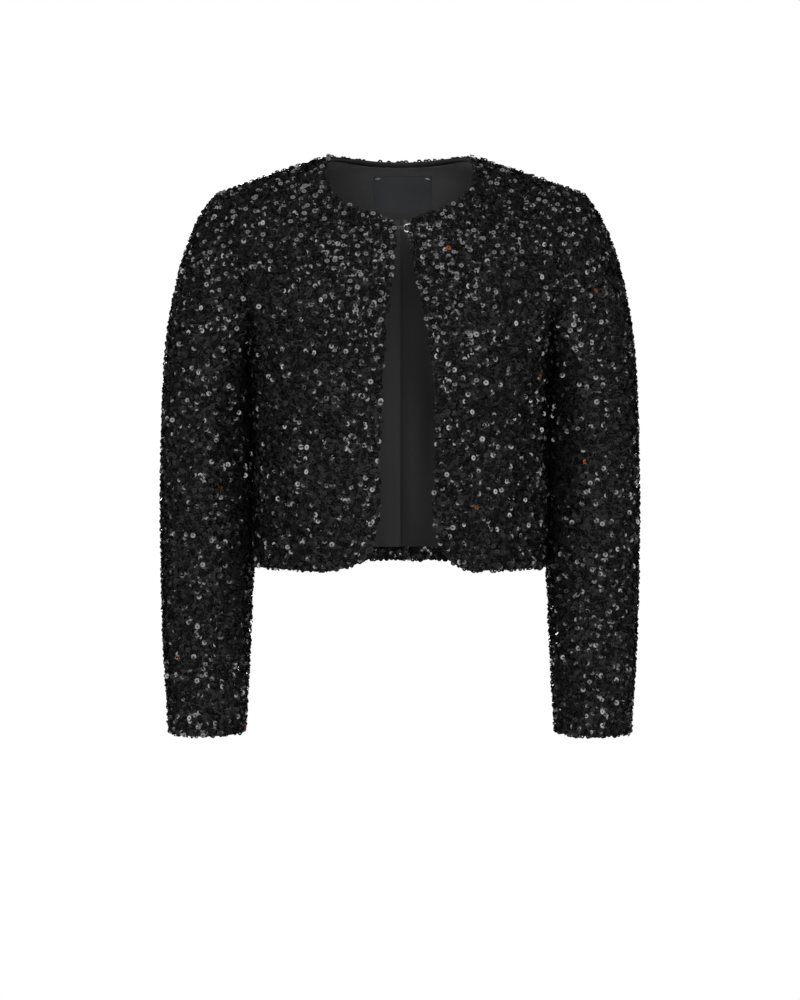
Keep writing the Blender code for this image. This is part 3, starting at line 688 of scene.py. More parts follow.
@dataclass
class Panel:
    """A sequinned panel: its shell, its creases and how it is cut.

    flat is the width and length that it was cut from. Beside the rolled edge the sequins
    lie flat on a strip of the back, whose own edge is bare. Creases end over fade_length
    under the height top.
    """

    node: str
    flat: tuple[float, float]
    creases: tuple[Crease, ...]
    seed: int
    halves: bool = False
    thickness: float = 0.0016
    flat_at_neck: float = 0.0
    bare_at_neck: float = 0.0045
    fade_length: float = 0.03
    top: float = field(init=False)

    def __post_init__(self) -> None:
        """Let the creases end at the panel's top."""
        self.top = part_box(self.node)[1].z

    def spot(self, point: Vector) -> Vector:
        """A point's place on the flat cloth: across and height."""
        return Vector((point.x, point.z))

    def laid_creases(self) -> tuple[Crease, ...]:
        """The creases in metres on the flat cloth."""
        return self.creases

    def rim(self, mesh: bpy.types.Mesh) -> list[float]:
        """How much of a crease is left near the panel's rims, for each point."""
        return rim_distance(mesh)

    def fade(self, point: Vector) -> float:
        """How much of a crease is left near its top."""
        return min(1.0, max(0.0, (self.top - point.z) / self.fade_length))

    def sheet(self) -> bpy.types.Object:
        """Press the creases into the outer face of the cloth.

        Returns:
            The sheet.
        """
        piece = open_sheet(self.node)
        creases = self.laid_creases()
        depths = []
        for vertex, share in zip(piece.data.vertices, self.rim(piece.data)):
            spot = self.spot(vertex.co)
            depth = sum(crease.depth_at(spot) for crease in creases)
            depths.append(depth * self.fade(vertex.co) * share)
        press(piece.data, depths)
        return piece

    def split_at_neck(self, sheet: bpy.types.Object) -> bpy.types.Object:
        """Part the strip beside the rolled edge from the rest of the sheet.

        Args:
            sheet: The whole sheet, which keeps what lies further away.

        Returns:
            The strip, as a sheet of its own.
        """
        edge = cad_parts["neck_roll"].data.vertices
        roll = KDTree(len(edge))
        for index, vertex in enumerate(edge):
            roll.insert(vertex.co, index)
        roll.balance()
        strip = new_piece(f"{self.node}_neck_strip", sheet.data.copy())
        keep_faces(strip.data, lambda middle:
                   self.bare_at_neck <= roll.find(middle)[2] < self.flat_at_neck)
        keep_faces(sheet.data, lambda middle: roll.find(middle)[2] >= self.flat_at_neck)
        return strip

    def build(self) -> None:
        """Make the ground shell and the sequins on it."""
        sheet = self.sheet()
        ground = new_piece(f"{self.node}_ground", sheet.data.copy())
        Finish.GROUND.dress(ground)
        Finish.INNER.dress(ground)
        thicken(ground, self.thickness, inner_material=1)
        seat(ground, self.node)
        area = min(area_of(sheet.data), self.flat[0] * self.flat[1])
        if self.flat_at_neck:
            strip = self.split_at_neck(sheet)
            name = f"{self.node}_neck_sequins"
            SequinField(Layers.TRIM).cover(strip, name, self.seed + NECK_SEED_STEP, halves=False)
            bpy.data.objects.remove(strip)
        sequins = SequinField().cover(sheet, f"{self.node}_sequins", self.seed, self.halves)
        log.info("%s: %.3f square metres, sequins on %d pieces", self.node, area, len(sequins))
        bpy.data.objects.remove(sheet)


@dataclass
class Sleeve(Panel):
    """A sleeve, whose creases are placed by degrees round the arm.

    side is 1 on the wearer's left and -1 on the right. The arm's axis runs straight down to
    the elbow, and from there swings forward to the cuff. Creases end below the sleeve head.
    """

    fade_length: float = 0.05
    side: int = 1
    axis: float = 0.198
    radius: float = 0.05
    swing: float = -0.02
    elbow: float = -0.3
    forearm: float = 0.28
    head: float = -0.13

    def __post_init__(self) -> None:
        """Let the creases end below the sleeve head."""
        self.top = self.head

    def spot(self, point: Vector) -> Vector:
        """Unroll a point of the sleeve.

        Args:
            point: The point.

        Returns:
            Metres round from the underarm by way of the front, and height.
        """
        reach = min(1.0, max(0.0, (self.elbow - point.z) / self.forearm))
        inner = self.axis - point.x * self.side
        turn = math.atan2(self.swing * reach - point.y, inner) % math.tau
        return Vector((turn * self.radius, point.z))

    def laid_creases(self) -> tuple[Crease, ...]:
        """The creases, with their degrees turned to metres round the arm."""
        return tuple(Crease(
            (math.radians(crease.start[0]) * self.radius, crease.start[1]),
            (math.radians(crease.end[0]) * self.radius, crease.end[1]),
            crease.width, crease.depth) for crease in self.creases)

    def rim(self, mesh: bpy.types.Mesh) -> list[float]:
        """Creases run on to every rim of a sleeve but its head."""
        return [1.0] * len(mesh.vertices)


# Sequins

@dataclass(frozen=True)
class SequinLayer:
    """One layer of sequins of a panel.

    spacing is the least distance between two centres. tilt is the largest tilt either way,
    in radians. low and high are heights over the cloth. dullest and brightest bound the
    sequins' own random values, which set their gloss.
    """

    name: str
    spacing: float
    tilt: float
    low: float
    high: float
    dullest: float
    brightest: float


class Layers(Enum):
    """How the sequins lie: piled up, flat in a turned-up edge, or flat as a trim."""

    FULL = (
        SequinLayer("under", 0.0033, math.radians(31.0), 0.0004, 0.0011, 0.0, GLOSSY_FROM),
        SequinLayer("upper", 0.0064, math.radians(25.0), 0.0019, 0.0024, GLOSSY_FROM, 1.0),
    )
    FLAT = (SequinLayer("under", 0.0031, math.radians(17.0), 0.0003, 0.0010, 0.5, 1.0),)
    TRIM = (SequinLayer("under", 0.0030, math.radians(7.0), 0.0001, 0.0004, 0.2, 1.0),)


@dataclass
class SequinField:
    """Cupped round sequins with a hole, scattered over a sheet by Geometry Nodes.

    density is the most sequins to a square metre, smallest and largest are shares of a
    sequin's full size, and spread is how much further they stand out on cloth that faces
    sideways.
    """

    layers: Layers = Layers.FULL
    density: float = 400000.0
    radius: float = 0.0026
    hole: float = 0.00075
    cup: float = 0.00008
    smallest: float = 0.96
    largest: float = 1.08
    spread: float = 1.5
    sides: int = 8

    def tree(self) -> bpy.types.NodeTree:
        """Build the tree that scatters one layer, the first time it is asked for.

        Returns:
            The tree, with an input named for each size of a field and of a layer.
        """
        tree = bpy.data.node_groups.get("sequin_field")
        if tree:
            return tree
        tree = bpy.data.node_groups.new("sequin_field", "GeometryNodeTree")
        sizes = [size.name.title() for owner in (SequinField, SequinLayer)
                 for size in fields(owner) if size.type is float]
        kinds = {"Geometry": "Geometry", **dict.fromkeys(sizes, "Float"),
                 "Seed": "Int", "Finish": "Material"}
        for name, kind in kinds.items():
            tree.interface.new_socket(name, in_out="INPUT", socket_type=f"NodeSocket{kind}")
        tree.interface.new_socket("Geometry", in_out="OUTPUT", socket_type="NodeSocketGeometry")
        entry = tree.nodes.new("NodeGroupInput").outputs

        def node(kind: str, inputs: dict[Any, Any], **settings: Any) -> bpy.types.Node:
            """Add a node with its settings, then its sockets.

            Args:
                kind: The node's type name.
                inputs: Values or links of its sockets, by name or number.
                **settings: Attributes that are set first.

            Returns:
                The node.
            """
            made = tree.nodes.new(kind)
            for name, value in settings.items():
                setattr(made, name, value)
            for name, value in inputs.items():
                socket = made.inputs[name]
                if isinstance(value, bpy.types.NodeSocket):
                    tree.links.new(value, socket)
                else:
                    socket.default_value = value
            return made

        def maths(operation: str, *values: Any) -> bpy.types.NodeSocket:
            """The result of one Math node."""
            return node("ShaderNodeMath", dict(enumerate(values)), operation=operation).outputs[0]

        def vary(low: Any, high: Any, seed: int, kind: str = "FLOAT") -> bpy.types.NodeSocket:
            """A random value for each sequin between two limits."""
            first, result = (0, 0) if kind == "FLOAT_VECTOR" else (2, 1)
            return node("FunctionNodeRandomValue", {first: low, first + 1: high, "Seed": seed},
                        data_type=kind).outputs[result]

        points = node("GeometryNodeDistributePointsOnFaces", {
            "Mesh": entry["Geometry"], "Distance Min": entry["Spacing"],
            "Density Max": entry["Density"], "Seed": entry["Seed"],
        }, distribute_method="POISSON")
        cup = node("GeometryNodeMeshCone", {
            "Vertices": self.sides, "Radius Top": entry["Radius"], "Radius Bottom": entry["Hole"],
            "Depth": entry["Cup"],
        }, fill_type="NONE")
        up = node("GeometryNodeFlipFaces", {"Mesh": cup.outputs["Mesh"]})
        sideways = maths("ABSOLUTE", node("ShaderNodeSeparateXYZ", {
            "Vector": points.outputs["Normal"]}).outputs["X"])
        most = maths("MULTIPLY", entry["Tilt"],
                     maths("MULTIPLY_ADD", sideways, entry["Spread"], 1.0))
        least = maths("SUBTRACT", 0.0, most)
        limits = [node("ShaderNodeCombineXYZ", {"X": tilt, "Y": tilt, "Z": turn}).outputs[0]
                  for tilt, turn in ((least, -math.pi), (most, math.pi))]
        lean = node("FunctionNodeEulerToRotation", {0: vary(*limits, seed=3, kind="FLOAT_VECTOR")})
        facing = node("FunctionNodeRotateRotation", {
            0: points.outputs["Rotation"], 1: lean.outputs[0]}, rotation_space="LOCAL")
        placed = node("GeometryNodeInstanceOnPoints", {
            "Points": points.outputs["Points"], "Instance": up.outputs[0],
            "Rotation": facing.outputs[0],
            "Scale": vary(entry["Smallest"], entry["Largest"], seed=5)})
        height = node("ShaderNodeCombineXYZ", {"Z": vary(entry["Low"], entry["High"], seed=7)})
        lifted = node("GeometryNodeTranslateInstances", {
            "Instances": placed.outputs[0], "Translation": height.outputs[0],
            "Local Space": True})
        marked = node("GeometryNodeStoreNamedAttribute", {
            "Geometry": lifted.outputs[0], "Name": Finish.SEQUIN.value.attribute,
            "Value": vary(entry["Dullest"], entry["Brightest"], seed=11),
        }, data_type="FLOAT", domain="INSTANCE")
        real = node("GeometryNodeRealizeInstances", {"Geometry": marked.outputs[0]})
        dressed = node("GeometryNodeSetMaterial", {
            "Geometry": real.outputs[0], "Material": entry["Finish"]})
        tree.links.new(dressed.outputs[0], tree.nodes.new("NodeGroupOutput").inputs[0])
        return tree

    def scatter(self, surface: bpy.types.Mesh, layer: SequinLayer, seed: int) -> bpy.types.Mesh:
        """Cover a surface with one layer of sequins.

        Args:
            surface: The cloth's outer face.
            layer: The layer.
            seed: Seed of its places.

        Returns:
            The sequins as one plain mesh.
        """
        base = new_piece(layer.name, surface)
        modifier = base.modifiers.new("sequins", "NODES")
        modifier.node_group = self.tree()
        values = {name.title(): value for name, value in {**vars(self), **vars(layer)}.items()}
        values |= {"Seed": seed, "Finish": Finish.SEQUIN.made()}
        for item in modifier.node_group.interface.items_tree:
            if item.item_type == "SOCKET" and item.in_out == "INPUT" and item.name in values:
                modifier[item.identifier] = values[item.name]
        mesh = evaluated(base)
        bpy.data.objects.remove(base)
        return mesh

    def cover(self, sheet: bpy.types.Object, name: str, seed: int,
              halves: bool) -> list[bpy.types.Object]:
        """Scatter sequins over a sheet, as one piece or as two.

        Args:
            sheet: The cloth's outer face.
            name: Name of the sequins' piece.
            seed: Seed of their places.
            halves: Whether to split them in two, which keeps each piece small.

        Returns:
            The pieces, each riding on the body.
        """
        reaches: dict[str, tuple[float, float]] = {name: (-math.inf, math.inf)}
        axis, low, high = split_axis(sheet.data)
        if halves:
            middle = 0.5 * (low + high)
            reaches = {f"{name}_a": (low, middle), f"{name}_b": (middle, high)}
        made = []
        for index, (part, reach) in enumerate(reaches.items()):
            surface = sheet.data.copy()
            keep_faces(surface, between(axis, *reach))
            layers = [self.scatter(surface, layer, seed + 2 * index + step)
                      for step, layer in enumerate(self.layers.value)]
            piece = new_piece(part, joined(layers, part))
            seat(piece)
            log.info("%s: %d triangles", part, sum(len(p.vertices) - 2 for p in piece.data.polygons))
            made.append(piece)
        return made


def joined(meshes: list[bpy.types.Mesh], name: str) -> bpy.types.Mesh:
    """Join meshes of sequins.

    Args:
        meshes: The meshes.
        name: Name of the new one.

    Returns:
        One smooth mesh.
    """
    shell = bmesh.new()
    for mesh in meshes:
        shell.from_mesh(mesh)
    made = as_mesh(shell, name)
    made.materials.clear()
    made.materials.append(Finish.SEQUIN.made())
    made.polygons.foreach_set("material_index", [0] * len(made.polygons))
    made.shade_smooth()
    return made


def split_axis(mesh: bpy.types.Mesh) -> tuple[int, float, float]:
    """Choose the axis to split a panel's sequins on.

    Args:
        mesh: The panel's sheet.

    Returns:
        X for a wide panel or Y for a sleeve, with the mesh's reach along it.
    """
    xs = [vertex.co.x for vertex in mesh.vertices]
    ys = [vertex.co.y for vertex in mesh.vertices]
    if max(xs) - min(xs) > WIDE_PANEL:
        return 0, min(xs), max(xs)
    return 1, min(ys), max(ys)


@dataclass
class TurnUp:
    """The strip of sequinned cloth that a hem or cuff turns up inside.

    height is how far it reaches up from the edge, and depth is its distance from the outer
    face. ease, its cut height as a share of that reach, is not used.
    """

    node: str
    height: float = 0.0165
    depth: float = 0.0026
    thickness: float = 0.0006
    ease: float = 1.02
    seed: int = 71

    def build(self) -> None:
        """Make the strip and its sequins, facing into the garment."""
        strip = open_sheet(self.node)
        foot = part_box(self.node)[0].z
        keep_faces(strip.data, between(2, -math.inf, foot + self.height))
        press(strip.data, [self.depth] * len(strip.data.vertices))
        strip.data.flip_normals()
        strip.data.update()
        shell = new_piece(f"{self.node}_turn_up", strip.data.copy())
        Finish.GROUND.dress(shell)
        thicken(shell, self.thickness, inner_material=0)
        seat(shell)
        name = f"{self.node}_turn_up_sequins"
        sequins = SequinField(Layers.FLAT).cover(strip, name, self.seed, halves=False)
        bpy.data.objects.remove(strip)


# Plain cloth inside

class Rise(NamedTuple):
    """A smooth rise from 0 to 1 between two values."""

    low: float
    high: float

    def at(self, value: float) -> float:
        """How far it has risen at a value."""
        share = min(max((value - self.low) / (self.high - self.low), 0.0), 1.0)
        return share * share * (3.0 - 2.0 * share)


class FoldPoint(NamedTuple):
    """A spot on the edge of the lining's diagonal fold."""

    across: float
    height: float


class Spot(NamedTuple):
    """A soft hollow darkened by painted shade, or a raised spot lightened by painted light where its
    change is negative.
    """

    across: float
    height: float
    wide: float
    high: float
    change: float


@dataclass(frozen=True)
class LiningFoldsAndShade:
    """Folds of the back lining beside its pleat, with painted shade, from 0 on a fold to 1 in a
    hollow.

    Hollowness is left on the pleat and right beside it, with a step at the pleat's edge. It
    is left_more higher away from that edge and right_less lower near the top. It is 0 on
    the diagonal fold, whose edge runs down through the points of fold and which runs out at
    fold_end, a depth under the shoulders. spots are further soft hollows, and relief is the
    height from a hollow to a fold. The hollowness is also stored for the lining's colour,
    which it darkens as painted shade: the right side of the pleat is darker by painted
    shadow, the diagonal fold lighter by painted highlight, and spots with a positive change
    add painted shade while those with a negative change add painted light.
    """

    relief: float = 0.0020
    edge: float = 0.0008
    step: Rise = Rise(0.0002, 0.0016)
    left: float = 0.63
    left_more: float = 0.08
    left_side: Rise = Rise(0.012, 0.024)
    right: float = 0.87
    right_less: float = 0.10
    right_top: Rise = Rise(-0.23, -0.16)
    fold: tuple[FoldPoint, ...] = (
        FoldPoint(0.0012, -0.050), FoldPoint(0.0030, -0.066), FoldPoint(0.0130, -0.087),
        FoldPoint(0.0235, -0.116), FoldPoint(0.0315, -0.146), FoldPoint(0.0370, -0.172),
    )
    fold_side: Rise = Rise(-0.0012, 0.0045)
    fold_end: Rise = Rise(0.162, 0.202)
    spots: tuple[Spot, ...] = (
        Spot(0.013, -0.300, 0.009, 0.085, -0.16),
        Spot(0.036, -0.256, 0.007, 0.020, 0.11),
        Spot(0.026, -0.345, 0.012, 0.040, -0.07),
        Spot(-0.050, -0.200, 0.020, 0.120, 0.12),
        Spot(0.070, -0.260, 0.025, 0.100, -0.14),
    )

    def fold_at(self, height: float) -> float:
        """Find the edge of the diagonal fold.

        Args:
            height: Height.

        Returns:
            Its distance to the wearer's left of the centre.
        """
        for upper, lower in zip(self.fold, self.fold[1:]):
            if upper.height >= height > lower.height:
                share = (upper.height - height) / (upper.height - lower.height)
                return upper.across + share * (lower.across - upper.across)
        return self.fold[0 if height > self.fold[0].height else -1].across

    def hollow(self, across: float, height: float) -> float:
        """Work out how hollow the lining lies at a spot, which also sets how dark its painted shade
        is.

        Args:
            across: Distance to the wearer's left of the centre.
            height: Height.

        Returns:
            The hollowness, from 0 to 1.
        """
        # left and right set how dark each side of the pleat is painted as shade, and band lightens
        # the diagonal fold as a painted highlight.
        left = self.left + self.left_more * self.left_side.at(self.edge - across)
        band = self.fold_side.at(across - self.fold_at(height)) * (1.0 - self.fold_end.at(-height))
        right = (self.right - self.right_less * self.right_top.at(height)) * (1.0 - band)
        for spot in self.spots:
            away = math.hypot((across - spot.across) / spot.wide, (height - spot.height) / spot.high)
            right += spot.change * math.exp(-away * away)
        return min(max(left + self.step.at(across) * (right - left), 0.0), 1.0)

    def press_into(self, mesh: bpy.types.Mesh) -> None:
        """Press the fold relief into the lining, and store how hollow each point is, which its
        colour paints as shade.

        Args:
            mesh: The lining.
        """
        marks = mesh.attributes.new(PAINTED_SHADE, "FLOAT", "POINT")
        for index, vertex in enumerate(mesh.vertices):
            hollow = self.hollow(vertex.co.x, vertex.co.z)
            vertex.co.y -= self.relief * (1.0 - hollow)
            # The stored hollowness darkens the lining's colour as painted shade.
            marks.data[index].value = hollow
        mesh.update()


@dataclass
class InnerCloth:
    """A plain piece inside the jacket, smoothed from its own solid.

    flat is the width and length that it was cut from. The lining's fold relief, if given, is pressed
    into it and its hollows darken the colour as painted shade.
    """

    node: str
    finish: Finish
    slot: str
    flat: tuple[float, float]
    folds_and_shade: LiningFoldsAndShade | None = None

    def build(self) -> bpy.types.Object:
        """Make the shell and log its area.

        Returns:
            The piece.
        """
        piece = closed_wall(self.node, f"{self.node}_cloth")
        piece.data.set_sharp_from_angle(angle=RIM_ANGLE)
        # Presses the fold relief in and stores the hollowness that the finish paints as shade.
        if self.folds_and_shade:
            self.folds_and_shade.press_into(piece.data)
        self.finish.dress(piece)
        seat(piece, self.node)
        area = min(0.5 * area_of(piece.data), self.flat[0] * self.flat[1])
        log.info("%s: %.4f square metres", self.node, area)
        return piece


@dataclass
class Label(InnerCloth):
    """The blank label and the thread that catches its upper corners.

    stitch_ends are where the stitches start and end, as shares of stitch_length. They stand
    off the label by lift, and by bow more at their middles. inset and below are their
    distances from its side and top, and apart is how much higher the next one lies, for a
    full length along. Its corners are looked for within corner of its top.
    """

    stitch_length: float = 0.0042
    stitch_radius: float = 0.00028
    stitch_ends: tuple[tuple[float, float], ...] = ((0.0, 1.0), (0.45, 1.3))
    inset: float = 0.0012
    lift: float = 0.0004
    bow: float = 0.0007
    below: float = 0.0006
    apart: float = 0.0012
    corner: float = 0.004
    points: int = 7

    def build(self) -> bpy.types.Object:
        """Make the label, then its corner stitches.

        Returns:
            The label.
        """
        piece = super().build()
        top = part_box(self.node)[1].z - self.corner
        corners = sorted((v.co.copy() for v in piece.data.vertices if v.co.z > top),
                         key=lambda point: point.x)
        threads = new_piece("label_corner_stitches", self.stitches(corners[0], corners[-1]))
        Finish.THREAD.dress(threads)
        seat(threads)
        return piece

    def stitches(self, left: Vector, right: Vector) -> bpy.types.Mesh:
        """Sew short bowed stitches over the two upper corners.

        Args:
            left: The corner at lower X.
            right: The corner at higher X.

        Returns:
            The threads.
        """
        shell = bmesh.new()
        for corner, inwards in ((left, 1.0), (right, -1.0)):
            for start, end in self.stitch_ends:
                path = []
                for share in (step / (self.points - 1) for step in range(self.points)):
                    along = self.inset + self.stitch_length * (start + (end - start) * share)
                    off = self.lift + math.sin(math.pi * share) * self.bow
                    path.append(corner + Vector(
                        (inwards * along, -off, self.apart * start - self.below)))
                sweep(shell, path, self.stitch_radius)
        mesh = as_mesh(shell, "label_corner_stitches")
        mesh.shade_smooth()
        return mesh


def sweep(shell: bmesh.types.BMesh, path: list[Vector], radius: float, sides: int = 6) -> None:
    """Add a closed round tube along a path.

    Args:
        shell: The shell that it is added to.
        path: Points of its middle line.
        radius: Its radius.
        sides: Number of its sides.
    """
    rings = []
    for index, point in enumerate(path):
        before, after = path[max(index - 1, 0)], path[min(index + 1, len(path) - 1)]
        along = (after - before).normalized()
        side = along.cross(Vector((0.0, 0.0, 1.0))).normalized()
        up = side.cross(along)
        turns = [math.tau * corner / sides for corner in range(sides)]
        rings.append([shell.verts.new(point + radius * (side * math.cos(t) + up * math.sin(t)))
                      for t in turns])
    for first, second in zip(rings, rings[1:]):
        for corner in range(sides):
            after = (corner + 1) % sides
            shell.faces.new((first[corner], first[after], second[after], second[corner]))
    shell.faces.new(list(reversed(rings[0])))
    shell.faces.new(rings[-1])
    bmesh.ops.recalc_face_normals(shell, faces=shell.faces[:])


# Rolled edge and fastener

@dataclass(frozen=True)
class RoundPiece:
    """The rolled edge, or a bent wire of the fastener, rounded from its solid."""

    node: str
    name: str
    finish: Finish
    slot: str

    def build(self) -> None:
        """Make the piece smooth and give it its finish."""
        piece = closed_wall(self.node, self.name)
        self.finish.dress(piece)
        seat(piece, self.node)
        log.info("%s: %d faces", self.name, len(piece.data.polygons))


# Studio

class Softbox(NamedTuple):
    """One square studio light: its name, place, length of its sides and power in watts."""

    name: str
    place: tuple[float, float, float]
    size: float
    power: float


@dataclass
class Studio:
    """White studio with a pale floor, soft lights and the camera at the photo's place.

    The lights point at middle. The camera looks level at axis_height, and distance is that
    to the shoulders' plane. There the picture spans frame_height, with its middle under the
    line of sight by drop, a share. sensor is in millimetres. surround is the brightness
    that the jacket mirrors, and white is that behind it.
    """

    middle: Vector = field(default_factory=lambda: Vector((0.0, 0.0, -0.3)))
    distance: float = 2.1
    axis_height: float = -0.3008
    frame_height: float = 1.03
    drop: float = 0.0525
    sensor: float = 36.0
    floor_height: float = -1.72
    floor_radius: float = 2.9
    floor_sides: int = 96
    surround: float = 0.11
    white: float = 1.0
    lights: tuple[Softbox, ...] = (
        Softbox("key_box", (0.5, -2.5, 0.35), 0.75, 24.0),
        Softbox("front_box", (-0.28, -2.7, -0.15), 0.65, 15.0),
        Softbox("left_box", (-0.85, -2.3, 0.05), 0.55, 11.0),
        Softbox("low_box", (0.2, -2.45, -0.95), 0.4, 6.0),
        Softbox("left_side_box", (-2.3, -0.6, 0.2), 0.7, 20.0),
        Softbox("right_side_box", (2.3, -0.5, 0.0), 0.7, 20.0),
        Softbox("top_box", (0.0, -0.7, 1.7), 1.3, 26.0),
        Softbox("rear_box", (-0.7, 2.3, 0.4), 0.9, 34.0),
        Softbox("rear_low_box", (0.7, 2.3, -0.5), 0.6, 15.0),
    )

    def build(self) -> None:
        """Make the camera, the floor, the surroundings and the lights."""
        bpy.context.scene.view_settings.view_transform = "Standard"
        self.add_camera()
        self.add_floor()
        self.add_surround()
        for box in self.lights:
            self.add_light(box)

    def add_camera(self) -> None:
        """Set the level camera in front of the jacket."""
        lens = bpy.data.cameras.new("photo_camera")
        lens.sensor_fit = "VERTICAL"
        lens.sensor_height = self.sensor
        lens.lens = self.sensor * self.distance / self.frame_height
        lens.shift_y = -self.drop
        camera = bpy.data.objects.new("photo_camera", lens)
        camera.location = (0.0, -self.distance, self.axis_height)
        camera.rotation_euler = (math.radians(90.0), 0.0, 0.0)
        bpy.context.scene.collection.objects.link(camera)
        bpy.context.scene.camera = camera

    def add_floor(self) -> None:
        """Lay a wide round pale floor under the jacket."""
        shell = bmesh.new()
        bmesh.ops.create_circle(
            shell, cap_ends=True, segments=self.floor_sides, radius=self.floor_radius)
        bmesh.ops.translate(shell, verts=shell.verts[:], vec=(0.0, 0.0, self.floor_height))
        floor = new_piece("studio_floor", as_mesh(shell, "studio_floor"))
        Finish.PAPER.dress(floor)

    def add_surround(self) -> None:
        """Show white paper behind the jacket, and a dimmer room to what mirrors it."""
        world = bpy.data.worlds.new("studio_surround")
        world.use_nodes = True
        tree = world.node_tree
        background = tree.nodes["Background"]
        background.inputs["Color"].default_value = (1.0, 1.0, 1.0, 1.0)
        rays = tree.nodes.new("ShaderNodeLightPath")
        level = tree.nodes.new("ShaderNodeMapRange")
        level.inputs["To Min"].default_value = self.surround
        level.inputs["To Max"].default_value = self.white
        tree.links.new(rays.outputs["Is Camera Ray"], level.inputs["Value"])
        tree.links.new(level.outputs["Result"], background.inputs["Strength"])
        bpy.context.scene.world = world

    def add_light(self, box: Softbox) -> None:
        """Hang one softbox that points at the jacket.

        Args:
            box: The softbox.
        """
        light = bpy.data.lights.new(box.name, "AREA")
        light.shape = "SQUARE"
        light.size = box.size
        light.energy = box.power
        lamp = bpy.data.objects.new(box.name, light)
        lamp.location = box.place
        lamp.rotation_euler = (self.middle - Vector(box.place)).to_track_quat("-Z", "Y").to_euler()
        bpy.context.scene.collection.objects.link(lamp)


# The jacket

FRONT_CREASES = {
    "front_left": (
        Crease((0.144, -0.20), (0.118, -0.30), 0.008, 0.0016),
        Crease((0.118, -0.31), (0.112, -0.44), 0.007, 0.0016),
        Crease((0.082, -0.24), (0.088, -0.36), 0.010, 0.0012),
        Crease((0.046, -0.33), (0.052, -0.44), 0.008, -0.0012),
        Crease((0.150, -0.11), (0.112, -0.16), 0.008, 0.0012),
        Crease((0.060, -0.10), (0.100, -0.13), 0.010, -0.0010),
    ),
    "front_right": (
        Crease((-0.146, -0.19), (-0.112, -0.27), 0.008, 0.0016),
        Crease((-0.110, -0.30), (-0.104, -0.44), 0.008, 0.0014),
        Crease((-0.070, -0.28), (-0.078, -0.40), 0.009, 0.0012),
        Crease((-0.040, -0.34), (-0.044, -0.44), 0.008, -0.0010),
        Crease((-0.148, -0.12), (-0.108, -0.15), 0.008, 0.0012),
        Crease((-0.056, -0.11), (-0.092, -0.15), 0.010, -0.0010),
    ),
}
BACK_CREASES = (
    Crease((0.120, -0.22), (0.086, -0.30), 0.009, 0.0016),
    Crease((-0.124, -0.21), (-0.082, -0.28), 0.009, 0.0016),
    Crease((0.070, -0.31), (0.066, -0.44), 0.010, 0.0014),
    Crease((-0.064, -0.33), (-0.070, -0.44), 0.009, 0.0012),
    Crease((0.012, -0.24), (0.006, -0.40), 0.012, -0.0012),
    Crease((-0.096, -0.07), (-0.030, -0.10), 0.012, 0.0010),
    Crease((0.104, -0.06), (0.040, -0.11), 0.012, 0.0010),
)
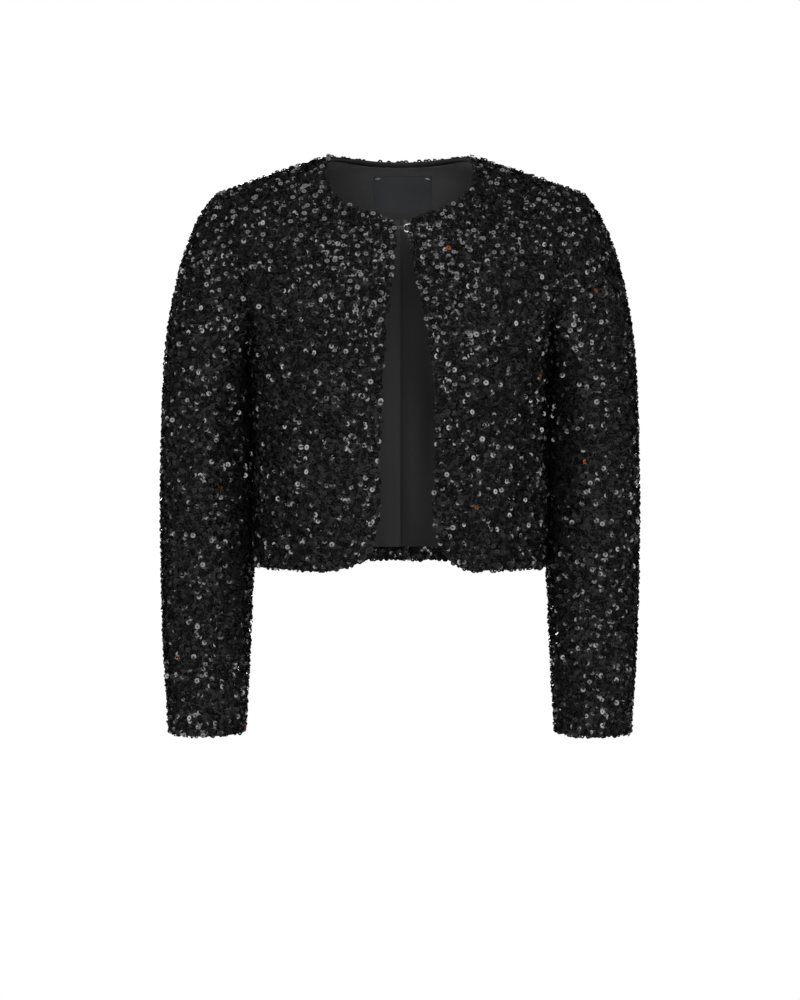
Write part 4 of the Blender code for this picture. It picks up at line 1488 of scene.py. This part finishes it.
SLEEVE_CREASES = {
    "sleeve_left": (
        Crease((40.0, -0.215), (110.0, -0.255), 0.007, 0.0016),
        Crease((35.0, -0.300), (120.0, -0.345), 0.007, 0.0018),
        Crease((30.0, -0.365), (95.0, -0.362), 0.006, 0.0016),
        Crease((60.0, -0.430), (140.0, -0.400), 0.008, 0.0014),
        Crease((300.0, -0.300), (230.0, -0.325), 0.008, 0.0018),
        Crease((310.0, -0.395), (240.0, -0.375), 0.008, 0.0016),
        Crease((90.0, -0.540), (150.0, -0.560), 0.008, 0.0010),
        Crease((200.0, -0.470), (270.0, -0.500), 0.008, 0.0012),
    ),
    "sleeve_right": (
        Crease((44.0, -0.210), (104.0, -0.240), 0.007, 0.0016),
        Crease((30.0, -0.290), (115.0, -0.310), 0.007, 0.0016),
        Crease((34.0, -0.370), (120.0, -0.395), 0.007, 0.0018),
        Crease((55.0, -0.450), (130.0, -0.430), 0.008, 0.0014),
        Crease((305.0, -0.310), (225.0, -0.350), 0.008, 0.0018),
        Crease((315.0, -0.405), (250.0, -0.398), 0.008, 0.0014),
        Crease((80.0, -0.530), (145.0, -0.520), 0.008, 0.0010),
        Crease((205.0, -0.490), (275.0, -0.460), 0.008, 0.0012),
    ),
}


class Jacket:
    """The whole jacket, piece by piece."""

    def panels(self) -> list[Panel]:
        """List the sequinned panels with their cuts.

        Returns:
            The fronts, the back and the sleeves.
        """
        fronts = [
            Panel(node, (0.225, 0.430), creases, seed)
            for seed, (node, creases) in zip((11, 23), FRONT_CREASES.items())
        ]
        back = Panel("back", (0.420, 0.440), BACK_CREASES, 37, halves=True, flat_at_neck=0.0125)
        sleeves = [
            Sleeve(node, (0.340, 0.570), creases, seed, halves=True, side=side)
            for seed, side, (node, creases) in zip((41, 53), (1, -1), SLEEVE_CREASES.items())
        ]
        return [*fronts, back, *sleeves]

    def turn_ups(self) -> list[TurnUp]:
        """The turned-up hems and cuffs."""
        nodes = ("back", "front_left", "front_right", "sleeve_left", "sleeve_right")
        return [TurnUp(node) for node in nodes]

    def linings(self) -> list[InnerCloth]:
        """The plain pieces inside the back."""
        return [
            InnerCloth("back_lining", Finish.LINING, "lining_satin", (0.480, 0.365), LiningFoldsAndShade()),
            InnerCloth("back_neck_facing", Finish.FACING, "facing_cloth", (0.400, 0.110)),
            Label("neck_label", Finish.LABEL, "label_weave", (0.064, 0.044)),
        ]

    def round_pieces(self) -> list[RoundPiece]:
        """The rolled edge round the neck, and the hook with its straight eye."""
        return [
            RoundPiece("neck_roll", "neck_rolled_edge", Finish.ROLL, "roll_cloth"),
            RoundPiece("neck_hook", "neck_hook_wire", Finish.LACQUER, "black_steel"),
            RoundPiece("neck_eye", "neck_eye_wire", Finish.STEEL, "bright_steel"),
        ]

    def build(self) -> None:
        """Build every piece in order."""
        for piece in (*self.panels(), *self.turn_ups(), *self.linings(), *self.round_pieces()):
            piece.build()


def main() -> None:
    """Build the studio and the jacket."""
    logging.basicConfig(level=logging.INFO, format="%(name)s: %(message)s")
    Studio().build()
    Jacket().build()


if __name__ == "__main__":
    main()
